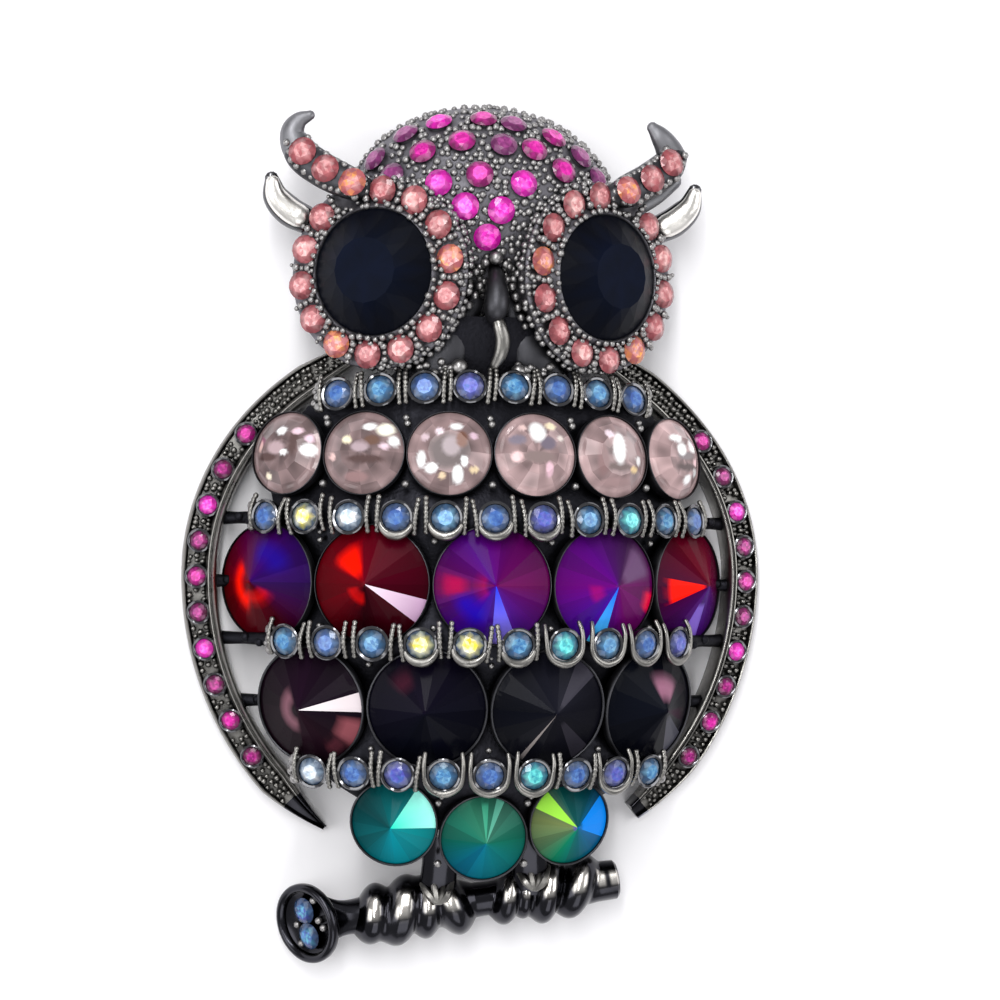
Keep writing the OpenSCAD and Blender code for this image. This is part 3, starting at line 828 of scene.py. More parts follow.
def brilliant(cut: Cut) -> Surface:
    """Cuts a stone with a table, stars, kites and girdle facets over a pointed back.

    With R, rt and rm the radii of girdle, table and middle ring, a = pi / n and h the crown's height, the
    middle ring lies at h (R - rm cos a) / (R - rt), so that each kite is flat.

    Args:
        cut: Cut of the stone.

    Returns:
        The stone with its girdle at Z = 0; its face arrays are triangles and quads. The table is flat, and is
        split into a star, because the facets of the back show through it.
    """
    n, r = cut.mains, cut.diameter / 2
    rt, h, a = cut.table * r, cut.crown * cut.diameter, math.pi / cut.mains
    rm = 0.55 * r + 0.45 * rt
    k = np.arange(n)
    j = np.arange(2 * n)
    points = np.concatenate([
        polar(rt, k * 2 * a, h), polar(rm, (k + 0.5) * 2 * a, h * (r - rm * math.cos(a)) / (r - rt)),
        polar(r, j * a, 0.0), polar(r, j * a, -0.02 * r), [[0.0, 0.0, -cut.depth * cut.diameter]],
        polar(0.55 * rt, (k + 0.5) * 2 * a, h), [[0.0, 0.0, h]],
    ])
    t, m, g, low, tip = k, n + k, 2 * n + j, 4 * n + j, np.full(2 * n, 6 * n)
    star, middle = 6 * n + 1 + k, np.full(n, 7 * n + 1)
    next_k, next_j = (k + 1) % n, (j + 1) % (2 * n)
    kites = np.stack([t, m[k - 1], g[2 * k], m], -1)
    stars = np.stack([t, m, t[next_k]], -1)
    upper = np.concatenate([np.stack([m, g[2 * k], g[2 * k + 1]], -1),
                            np.stack([m, g[2 * k + 1], g[(2 * k + 2) % (2 * n)]], -1)])
    girdle = np.stack([g, low, low[next_j], g[next_j]], -1)
    back = np.stack([low, tip, low[next_j]], -1)
    table = np.concatenate([np.stack([t, t[next_k], star], -1), np.stack([star, t[next_k], star[next_k]], -1),
                            np.stack([star, star[next_k], middle], -1)])
    return Surface(points, [np.concatenate([stars, upper, back, table]), np.concatenate([kites, girdle])])


@dataclass(frozen=True)
class Palette:
    """Colours that a cut stone throws from near its edge and from its middle, as hex codes."""

    edge: tuple[str, ...]
    middle: tuple[str, ...]


def set_stones(stone: Surface, frames: np.ndarray, palettes: Sequence[Palette], seed: int,
               spread: float = 0.25,
               soft: float = 0.5) -> Surface:
    """Copies a stone to its frames and tints every copy's facets.

    A corner's tint is (1 - soft) F + soft V, where F is its facet's colour and V its own; both come from the
    palette's middle where the facet lies inside 0.6 of the radius, and from its edge elsewhere.

    Args:
        stone: One stone, with its axis along Z.
        frames: Frames of the copies.
        palettes: Palettes that the copies take in turn.
        seed: Seed of the choice.
        spread: Greatest share by which a facet is lighter or darker.
        soft: Share of each corner's own colour.

    Returns:
        The tinted stones.
    """
    rng = np.random.default_rng(seed)
    n, radius = len(frames), np.linalg.norm(stone.points[:, :2], axis=1).max()
    codes = [[np.array([linear(c) for c in part]) for part in (p.edge, p.middle)] for p in palettes]

    def chosen(inside: np.ndarray) -> np.ndarray:
        """Picks a colour for each place of each copy, from the middle where inside holds."""
        rows = []
        for i in range(n):
            edge, middle = codes[i % len(codes)]
            pick = np.where(inside[:, None], middle[rng.integers(len(middle), size=len(inside))],
                            edge[rng.integers(len(edge), size=len(inside))])
            rows.append(pick * rng.uniform(1 - spread, 1 + spread, (len(inside), 1)))
        return np.array(rows)

    own = chosen(np.linalg.norm(stone.points[:, :2], axis=1) < 0.6 * radius)
    tints = []
    for f in stone.faces:
        facet = chosen(np.linalg.norm(stone.points[f].mean(1)[:, :2], axis=1) < 0.6 * radius)
        colour = (1 - soft) * facet[:, :, None] + soft * own[:, f]
        colour[..., 3] = 1.0
        tints.append(colour.reshape(-1, f.shape[1], 4))
    placed = stone.copied(frames)
    placed.tints = tints
    return placed


def add_field(name: str, cut: Cut, frames: np.ndarray, palettes: Sequence[Palette], seed: int,
              node: str) -> None:
    """Makes one piece of small foiled stones, which take the palettes in turn."""
    stones = set_stones(brilliant(cut), frames, palettes, seed)
    add_piece(name, stones, GEM, None, [node])


@dataclass(frozen=True)
class Flash:
    """A wedge of light that a pointed stone throws from one side of its point.

    Attributes:
        colour: Hex code.
        start: Direction in degrees where the wedge starts.
        end: Direction where it ends.
        inner: Share of the radius where it starts.
        outer: Share of the radius where it ends.
        soft: Degrees over which its sides fade, or 0 for the sharp edge of a facet.
        rim: Hex code at its outer end, or None for the same colour.
    """

    colour: str
    start: float
    end: float
    inner: float = 0.0
    outer: float = 1.0
    soft: float = 0.0
    rim: str | None = None


def long_facets(cut: Cut, shares: np.ndarray, fine: int) -> Surface:
    """Cuts a stone of long flat facets round a table or a point.

    At direction q and share s of the radius R a corner lies s R c from the axis. Here c = cos(a) / cos(q - m)
    puts it on the chord of its facet, whose middle is m and half angle a; past s = 0.9 c is 1. Its height is
    h min(1, (1 - s) / (1 - t)) for a table of share t.

    Args:
        cut: Cut of the stone, with the number of its long facets.
        shares: Shares of the radius at which its rings lie, rising to 1.
        fine: Parts into which each facet's width is divided, so that it can be tinted.

    Returns:
        The stone with its girdle at Z = 0.
    """
    n, r, h = cut.mains, cut.diameter / 2, cut.crown * cut.diameter
    k = np.arange(n * fine)
    q, half = k * TAU / (n * fine), math.pi / n
    chord = math.cos(half) / np.cos((k % fine) * 2 * half / fine - half)
    wide = shares[:, None] * np.where(shares[:, None] > 0.9, 1.0, chord) * r
    z = h * np.minimum(1.0, (1 - shares) / (1 - cut.table))
    tip = np.tile([[0.0, 0.0, -cut.depth * cut.diameter]], (len(q), 1))
    return skin(np.concatenate([polar(wide, q, z[:, None]), polar(r, q, -0.02 * r)[None], tip[None]]))


def pointed(cut: Cut, base: Sequence[tuple[float, str]], flashes: Sequence[Flash], seed: int,
            shade: float) -> Surface:
    """Cuts a stone whose long facets rise to a point, and tints it by direction.

    A corner's tint is the base colour at its facet's direction, varied by facet and 1.12 - 0.42 s^2 times as
    bright at share s, with each flash laid over it between its two directions and radii.

    Args:
        cut: Cut of the stone, with the number of its long facets.
        base: Directions in degrees with hex codes, in rising order.
        flashes: Flashes over the base colour.
        seed: Seed of the facets' brightness.
        shade: Brightness of the base colours.

    Returns:
        The stone with its girdle at Z = 0.
    """
    shares = np.array([0.01, cut.table, 0.12, 0.2, 0.3, 0.4, 0.5, 0.6, 0.7, 0.8, 0.9, 1.0])
    stone = long_facets(cut, shares, 4)
    rng = np.random.default_rng(seed)
    bright = shade * rng.uniform(0.78, 1.16, cut.mains)
    angles, codes = np.array([b[0] for b in base]), np.array([linear(b[1]) for b in base])
    tints = []
    for f in stone.faces:
        corners = stone.points[f]
        middle = corners.mean(1)
        way = np.degrees(np.arctan2(middle[:, 1], middle[:, 0]))
        share = np.linalg.norm(corners[..., :2], axis=-1) / (cut.diameter / 2)
        facet = np.floor((way % 360.0) / (360.0 / cut.mains)).astype(int) % cut.mains
        colour = np.stack([np.interp(way % 360.0, angles, codes[:, c], period=360.0) for c in range(4)], -1)
        colour = np.repeat((colour * bright[facet][:, None])[:, None], f.shape[1], 1)
        # Painted shade: each stone darkens towards its girdle
        colour = colour * (1.12 - 0.42 * share**2)[..., None]
        turn = np.degrees(np.arctan2(corners[..., 1], corners[..., 0]))
        # Each flash paints a wedge of reflected light over the base colour
        for flash in flashes:
            half = (flash.end - flash.start) / 2
            off = (turn if flash.soft else np.repeat(way[:, None], f.shape[1], 1)) - flash.start - half
            inside = np.clip((half - np.abs((off + 180) % 360 - 180)) / max(flash.soft, 0.01) + 0.5, 0, 1)
            fade = 0.08 + flash.soft / 100
            starts = np.clip((share - flash.inner) / fade, 0, 1) if flash.inner > 0 else 1.0
            ends = np.clip((flash.outer - share) / fade, 0, 1) if flash.outer < 1 else 1.0
            weight = (starts * ends * inside)[..., None]
            near, far = (np.array(linear(code)) for code in (flash.colour, flash.rim or flash.colour))
            blend = np.clip(share, 0, 1)[..., None]
            colour = colour * (1 - weight) + weight * (near * (1 - blend) + far * blend)
        colour[..., 3] = 1.0
        tints.append(colour)
    stone.tints = tints
    return stone


@dataclass(frozen=True)
class Spot:
    """A soft patch in a clear stone: its place and half sizes in shares of the radius, and its colour."""

    x: float
    y: float
    wide: float
    high: float
    colour: str = "#ffffff"


def chaton(cut: Cut, spots: Sequence[Spot], seed: int, shade: float) -> Surface:
    """Cuts a clear stone with a table and tints it as its foiled back shows through.

    At direction q and share s of the radius the tint is a brownish pink, brighter or darker by the factor
    1 + 0.12 s cos(n q) + 0.15 cos(5 q + 11 s + c) + 0.13 cos(3 q - 8 s + 2 c), with n facets and the seed c,
    by a random factor for each facet and by 0.62 + 0.5 s. Each spot is laid over it where its ellipse's
    distance is below 1.2, fully below 0.8.

    Args:
        cut: Cut of the stone.
        spots: Patches of light and shade.
        seed: Seed of the facets' brightness.
        shade: Brightness of the whole stone.

    Returns:
        The stone with its girdle at Z = 0.
    """
    shares = np.concatenate([[0.03], np.linspace(0.08, cut.table, 7), np.linspace(cut.table + 0.05, 1.0, 10)])
    stone = long_facets(cut, shares, 6)
    rng = np.random.default_rng(seed)
    bright = rng.uniform(0.72, 1.3, (cut.mains, 4))
    tints = []
    for f in stone.faces:
        corners = stone.points[f] / (cut.diameter / 2)
        x, y, s = corners[..., 0], corners[..., 1], np.linalg.norm(corners[..., :2], axis=-1)
        q, middle = np.arctan2(y, x), corners.mean(1)
        facet = np.floor(np.arctan2(middle[:, 1],
                                    middle[:, 0]) % TAU / (TAU / cut.mains)).astype(int) % cut.mains
        band = np.digitize(np.linalg.norm(middle[:, :2], axis=1), [0.3, cut.table, 0.78])
        # Painted reflections of the foiled back: waves of light and shade, a level for each facet and band,
        # brighter towards the girdle; the spots are painted light and shade too
        wave = 1 + 0.12 * s * np.cos(cut.mains * q) + 0.15 * np.cos(5 * q + 11 * s + seed) + (
            0.13 * np.cos(3 * q - 8 * s + 2 * seed))
        level = wave * bright[facet, band][:, None] * (0.62 + 0.5 * s)
        colour = np.array(linear("#9c8484")) * shade * level[..., None]
        for spot in spots:
            d = np.hypot((x - spot.x) / spot.wide, (y - spot.y) / spot.high)
            weight = np.clip((1.2 - d) / 0.4, 0, 1)[..., None]
            colour = colour * (1 - weight) + np.array(linear(spot.colour)) * weight
        colour[..., 3] = 1.0
        tints.append(colour)
    stone.tints = tints
    return stone


OPALS = (
    Palette(("#22324e", "#2f4468", "#3a4a66", "#46566e"), ("#3a62aa", "#4a74b8", "#6088c0", "#34549a")),
    Palette(("#203850", "#2c4a68", "#3a4e62", "#1c3450"), ("#3f7cb0", "#5a96c4", "#3468a0", "#7ab0d0")),
    Palette(("#2a2c50", "#363c6c", "#3c4668", "#4a4e74"), ("#4a4cae", "#5c62c0", "#4468b0", "#7478c8")),
)
YELLOW = Palette(("#3c4c5c", "#5c6454", "#2c3c5c"), ("#f0e050", "#fff6b0", "#e8d030", "#ffffe8"))
WHITE = Palette(("#3a4a5c", "#5a6a7c", "#2a3a54"), ("#e0ecf8", "#ffffff", "#a8bcd0"))
AQUA = Palette(("#2a5a70", "#306a80", "#284860"), ("#58d0d0", "#80f0e8", "#3aa0b0"))
DUSK = Palette(("#10284a", "#183a60", "#142848"), ("#2a6aa0", "#4048b0", "#58a8c0", "#204a80"))
MAGENTA = Palette(("#70064e", "#8c0a66", "#5a0640"), ("#d0109a", "#f040b8", "#b00c80", "#e020a8"))
RUBY = Palette(("#48062e", "#64084a", "#38041f"), ("#98107a", "#b01880", "#780c58", "#d040a0"))
ROSE = Palette(("#7a383e", "#8a4248", "#98484e", "#5c282e"), ("#b8686c", "#d08c8e", "#a8585e", "#e8b0b0"))
PEACH = Palette(("#8a4248", "#a8585e", "#70343a"), ("#d89090", "#f4c8c4", "#c07478"))
SUNSET = Palette(("#8a4248", "#98484e", "#a8585e", "#c87840"),
                 ("#d88880", "#b8686c", "#f4a850", "#e8b0b0", "#c8706c"))
FUCHSIA = Palette(("#b0088a", "#c8089c", "#90067a"), ("#f010c0", "#ff40cc", "#ff78de", "#d80cac"))
PLUM = Palette(("#5e1850", "#72205e", "#4e1444"), ("#94387e", "#a44c8a", "#7c2868"))
NIGHT = Palette(("#070911", "#080a12"), ("#060c1b", "#070e20"))


# ---- sub-assemblies ---------------------------------------------------------------------------------


@dataclass(frozen=True)
class RimEnd:
    """Lower end of a rim.

    Attributes:
        angle: Angle at which the rim ends.
        share: Share of the section that is left there.
        tip: Angle at which its smooth tip starts.
        last_grain: Angle of its last grain.
        seed: Seed of its grains.
    """

    angle: float
    share: float
    tip: float
    last_grain: float
    seed: int


@dataclass
class Rims:
    """The two wing rims: a stone channel between a thin outer edge and a double inner ridge.

    Attributes:
        stones: Stones on each rim.
        pitch: Distance between them along Y.
        first_y: Height of the highest above the widest line.
        inward: Distance of the stones' line from the outer edge.
        stone_z: Height of the stones' girdles.
        lean: Angle by which they lean outwards.
        section: Pairs of (inward share of the width, height share), from the outer foot to the inner foot.
        steps: Rings on 120 degrees of a rim.
        head_share: Share of the section that is left at the head.
        head_taper: Angle over which it narrows to the head.
        end_taper: Angle over which it narrows to the lower end.
        ends: The lower ends.
    """

    stones: int = 10
    pitch: float = 3.06
    first_y: float = 11.9
    inward: float = 1.2
    stone_z: float = 1.972
    lean: float = 18.0
    section: tuple[tuple[float, float], ...] = (
        (0.00, 0.00), (0.00, 0.44), (0.015, 0.52), (0.045, 0.56), (0.08, 0.55), (0.105, 0.48), (0.12, 0.38),
        (0.16, 0.34), (0.32, 0.37), (0.52, 0.41), (0.62, 0.44), (0.66, 0.50), (0.68, 0.68), (0.695, 0.80),
        (0.72, 0.87), (0.75, 0.88), (0.775, 0.84), (0.79, 0.84), (0.81, 0.92), (0.85, 0.995), (0.89, 0.99),
        (0.935, 0.93), (0.97, 0.80), (1.00, 0.55), (1.00, 0.00),
    )
    steps: int = 180
    head_share: float = 0.4
    head_taper: float = 16.0
    end_taper: float = 14.0
    ends: dict[Side, RimEnd] = field(default_factory=lambda: {
        Side.LEFT: RimEnd(-58.0, 0.16, -49.0, -48.0, 12), Side.RIGHT: RimEnd(-53.0, 0.55, -50.5, -49.5, 13)})

    def narrowed(self, degrees: np.ndarray, side: Side) -> np.ndarray:
        """Share of the section that is left at angles near a rim's two ends.

        Args:
            degrees: Angles on the rim.
            side: Side of the owl.

        Returns:
            Shares from 0 to 1.
        """
        end = self.ends[side]
        head = self.head_share + (1 - self.head_share) * (OWL.rim_top_angle - degrees) / self.head_taper
        foot = end.share + (1 - end.share) * (degrees - end.angle) / self.end_taper
        return np.clip(np.minimum(head, foot), 0.0, 1.0)

    def band(self, side: Side, start: float, end: float) -> Surface:
        """Sweeps the section along a stretch of a rim.

        The corner of share (u, v) lies (0.4 (1 - w) + u w) W inward and v H (0.4 + 0.6 w) high, where W and H
        are the rim's width and height and w is the share that is left of its section.

        Args:
            side: Side of the owl.
            start: Angle on the rim where the stretch starts.
            end: Angle where it ends.

        Returns:
            The stretch.
        """
        a = np.linspace(start, end, int(self.steps * (start - end) / 120.0) + 2)[:, None]
        w = self.narrowed(a, side)
        u, v = np.array(self.section).T
        z = v * OWL.rim_h * (0.4 + 0.6 * w)
        return skin(OWL.rim_point(a, (0.4 * (1 - w) + u * w) * OWL.rim_w, z, side))

    def frames(self, side: Side) -> np.ndarray:
        """Frames of a rim's stones, which lean outwards."""
        y = self.first_y - np.arange(self.stones) * self.pitch
        a = OWL.rim_angle(y, self.inward)
        places = OWL.rim_point(a, self.inward, self.stone_z, side)
        inner = OWL.rim_point(a, self.inward + 0.1, self.stone_z, side)
        way = np.degrees(np.arctan2(*(places - inner)[:, 1::-1].T))
        return frames_at(places, turn_about(2, way) @ turn_about(1, self.lean))

    def grains(self, side: Side) -> Surface:
        """Scatters grains in three lines along a rim's channel, clear of its stones.

        Args:
            side: Side of the owl.

        Returns:
            The grains.
        """
        rng = np.random.default_rng(self.ends[side].seed)
        a, lines = np.meshgrid(np.linspace(66.5, self.ends[side].last_grain, 90), [0.62, 1.2, 1.76])
        a = a + np.array([0.0, 0.65, 0.2])[:, None] + rng.uniform(-0.25, 0.25, a.shape)
        w = self.narrowed(a, side)
        inward = 0.4 * (1 - w) * OWL.rim_w + (lines + rng.uniform(-0.08, 0.08, a.shape)) * w
        z = (0.40 + 0.03 * lines) * OWL.rim_h * (0.4 + 0.6 * w) + 0.06
        p = OWL.rim_point(a, inward, z, side).reshape(-1, 3)
        clear = nearest(p[:, :2], self.frames(side)[:, :2, 3]) > RIM_CUT.diameter / 2 + 0.36
        p, w = p[clear], w.reshape(-1)[clear]
        return grain(8).copied(frames_at(p, sizes=rng.uniform(0.20, 0.31, len(p)) * (0.45 + 0.55 * w)))

    def cups(self, side: Side) -> Surface:
        """Low collars round the stones of a rim."""
        r = RIM_CUT.diameter / 2
        collar = revolved([(0.6 * r, -0.75), (r + 0.26, -0.62), (r + 0.24, 0.02), (r + 0.12, 0.12),
                           (r + 0.02, 0.06),
                           (r * 0.55, -0.5)], 16, looped=True)
        return collar.copied(self.frames(side))

    def build(self) -> None:
        """Makes both rims with their grains and stones."""
        for side in Side:
            name, end = side.name.lower(), self.ends[side]
            add_piece(f"rim_{name}", self.band(side, OWL.rim_top_angle, end.tip), WORN, 50)
            add_piece(f"rim_tip_{name}", self.band(side, end.tip, end.angle), BLACK, 50)
            add_piece(f"rim_cups_{name}", self.cups(side), GUNMETAL)
            add_piece(f"rim_grains_{name}", self.grains(side), WORN, 80)
            add_field(f"stones_rim_{name}", RIM_CUT, self.frames(side), [MAGENTA, RUBY, FUCHSIA, RUBY], 11,
                      f"rim_stones_{name}")


@dataclass
class Dome:
    """The metal of the domed rows: shell, settings, wires, grains, stubs and the posts of the pin.

    Attributes:
        wall: Wall of a setting round a large stone.
        wire_r: Radius of the line on which a small stone's wire frame stands.
        pad_x: Distance of the pin's posts from the middle.
        pad_y: Their height on the brooch.
        holds: A letter for each stone of a small row: r for rods, c for rods and a collar, u for a hoop.
    """

    wall: float = 0.45
    wire_r: float = 1.62
    pad_x: float = 8.5
    pad_y: float = 2.28767
    holds: tuple[str, ...] = ("rrrrrrrr", "", "rrrccccrrrr", "", "rrrcccuuuu", "", "rrruuurur", "")

    def shell(self) -> Surface:
        """Sweeps the shell behind the rows: each ring runs along a row and back behind it.

        Between rows the shell follows the smooth path through the rows' points.

        Returns:
            The shell.
        """
        rings = []
        across = np.linspace(-1, 1, 33)
        for row in range(len(OWL.rows)):
            depth, reach = OWL.shell[row]
            s = across * reach * OWL.half_row(row)
            deep = -depth * OWL.dome_h
            front = OWL.on_row(row, s, deep)
            back = OWL.on_row(row, s[::-1], deep - OWL.shell_t)
            rings.append(np.concatenate([front, back]))
        return lofted(rings, 57)

    def large_setting(self, row: int) -> Surface:
        """A closed cup with a thin lip round the girdle, and a hollow parallel to the stone's back."""
        cut, r = CUTS[OWL.rows[row].kind], CUTS[OWL.rows[row].kind].diameter / 2
        lip = (OWL.rows[row].pitch - 1) * r
        deep = cut.depth * cut.diameter + self.wall
        return revolved([
            (0.0, -deep), (0.62 * r, -deep), (0.88 * r, -0.55 * deep), (r + 0.9 * lip, -0.45),
            (r + lip, -0.1),
            (r + lip, 0.10), (r + 0.75 * lip, 0.19), (r + 0.4 * lip, 0.21), (r + 0.03, 0.15),
            (r + 0.03, -0.12),
            (0.5 * r, 0.22 - 0.6 * deep), (0.0, 0.22 - deep),
        ], 48)

    def small_setting(self) -> Surface:
        """A cup that widens from its stem to a thin rim."""
        r = OWL.blue_d / 2
        return revolved([
            (0.0, -2.0), (0.5, -2.0), (r + 0.05, -0.75), (r + 0.28, -0.1), (r + 0.30, 0.08), (r + 0.20, 0.16),
            (r + 0.04, 0.10), (r + 0.02, -0.12), (0.5 * r, -0.72), (0.0, -1.05),
        ], 24)

    def rods(self) -> Surface:
        """Two beaded rods beside a small stone; their radius waves as 1 + 0.16 cos along them."""
        t = np.linspace(0, 1, 29)
        x, y, z = self.wire_r + 0.04 - 0.10 * t, 1.6 - 2.75 * t, -0.36 + 0.45 * np.sin(t * math.pi)
        radii = 0.21 * (1 + 0.16 * np.cos(t * 7 * TAU))
        return joined([tube(np.stack([way * x, y, z], -1), radii, 8) for way in (-1, 1)])

    def collar(self) -> Surface:
        """A thick bright arc below a small stone."""
        a = np.radians(np.linspace(-158, -22, 19))
        path = np.stack([1.42 * np.cos(a), 1.50 * np.sin(a), np.full(19, 0.0)], -1)
        return tube(path, 0.20 + 0.20 * np.sin(np.linspace(0, math.pi, 19)), 10)

    def hoop(self) -> Surface:
        """A wire bent into a U round a small stone, thicker below it."""
        w = self.wire_r
        course = [(-w + 0.08, 1.75, -0.45, 0.18), (-w, 1.10, -0.10, 0.20), (-w, 0.35, 0.02, 0.21),
                  (-0.93 * w, -0.55, 0.04, 0.23), (-0.62 * w, -1.22, 0.05, 0.28), (0.0, -1.58, 0.06, 0.34)]
        course += [(-x, y, z, r) for x, y, z, r in course[-2::-1]]
        path = smooth_path(course, 33)
        return tube(path[:, :3], path[:, 3], 10)

    def end_beads(self, row: int) -> Surface:
        """A cluster of grains beyond each end of a row of small stones."""
        half = OWL.half_row(row)
        spots = ((1.9, 0.9, -0.5), (2.1, 0.1, -0.6), (1.95, -0.8, -0.5), (2.6, -0.3, -0.9), (2.5, 0.7, -0.9))
        places = [OWL.on_row(row, np.array([way * (half + ahead)]), lift)[0] + [0, up, 0]
                  for ahead, up, lift in spots for way in (-1, 1)]
        sizes = np.repeat([0.5, 0.42, 0.46, 0.38, 0.34], 2)
        return grain(10).copied(frames_at(np.array(places), sizes=sizes))

    def valleys(self, row: int) -> Surface:
        """Columns of grains in the corners between neighbouring large stones."""
        ups = np.array([0.37, 0.44, -0.37]) * CUTS[OWL.rows[row].kind].diameter
        spots = np.stack([0.3 * np.cos(ups * 40), ups, np.zeros(3)], -1)
        size = 0.30 + 0.06 * np.cos(ups * 17)
        return grain(8).copied(nested(OWL.row_frames(row, 1, -0.25), frames_at(spots, sizes=size)))

    def stubs(self) -> Surface:
        """Short arms that tie the rows' ends to the rims, with a bead at each end."""
        out = []
        for row in (2, 3, 4, 5):
            d = CUTS[OWL.rows[row].kind].diameter
            start = OWL.on_row(row, OWL.half_row(row) + 0.35 * d, -1.4)
            y = start[1] - OWL.shift[1]
            foot = OWL.rim_point(OWL.rim_angle(y, 2.49), 2.49, 1.6, Side.RIGHT)
            for side in Side:
                mirror = np.array([side.value, 1, 1])
                a, b = start * mirror, foot * mirror
                path = np.linspace(a, b, 6)
                out.append(tube(path, np.array([0.75, 0.7, 0.55, 0.5, 0.55, 0.6]), 12))
                spots = np.array([a + (b - a) * t + [0, y, 0.5] for t,
                                  y in ((0.25, 0.3), (0.4, -0.3), (0.6, 0.1))])
                out.append(grain(10).copied(frames_at(spots, sizes=np.array([0.45, 0.38, 0.42]))))
        return joined(out)

    def pads(self) -> Surface:
        """Round posts that carry the pin's plate."""
        post = revolved([(0.0, 3.9), (1.3, 3.9), (1.4, 4.0), (1.4, 8.9), (1.3, 9.1), (0.0, 9.236)], 24)
        return post.copied(frames_at(np.array([[side.value * self.pad_x, self.pad_y, 0.0] for side in Side])))

    def build(self) -> None:
        """Makes the dome's metal."""
        large, small, wires, beads = [], [], [], []
        rng = np.random.default_rng(5)
        for row, r in enumerate(OWL.rows):
            frames = OWL.row_frames(row)
            if r.kind is Kind.BLUE:
                spun = turn_about(2, rng.uniform(-7, 7, len(frames)))
                turned = np.concatenate([frames[:, :, :3] @ spun, frames[:, :, 3:]], -1)
                small.append(self.small_setting().copied(frames))
                hold = np.array(list(self.holds[row]))
                for letters, shape in (("rc", self.rods()), ("c", self.collar()), ("u", self.hoop())):
                    chosen = turned[np.isin(hold, list(letters))]
                    if len(chosen):
                        wires.append(shape.copied(chosen))
                beads.append(self.end_beads(row))
            else:
                large.append(self.large_setting(row).copied(frames))
                beads.append(self.valleys(row))
        add_piece("back_shell", joined([self.shell(), self.pads()]), GROUND)
        add_piece("large_settings", joined(large), SMOKE)
        add_piece("small_settings", joined(small), GUNMETAL)
        add_piece("wires_and_prongs", joined(wires), WORN, 60)
        add_piece("row_grains", joined(beads), BEADED, 80)
        add_piece("stubs", self.stubs(), GROUND, 60)


@dataclass(frozen=True)
class PointedStone:
    """A pointed stone of a row: its base colours by direction and its flashes."""

    base: tuple[tuple[float, str], ...]
    flashes: tuple[Flash, ...]


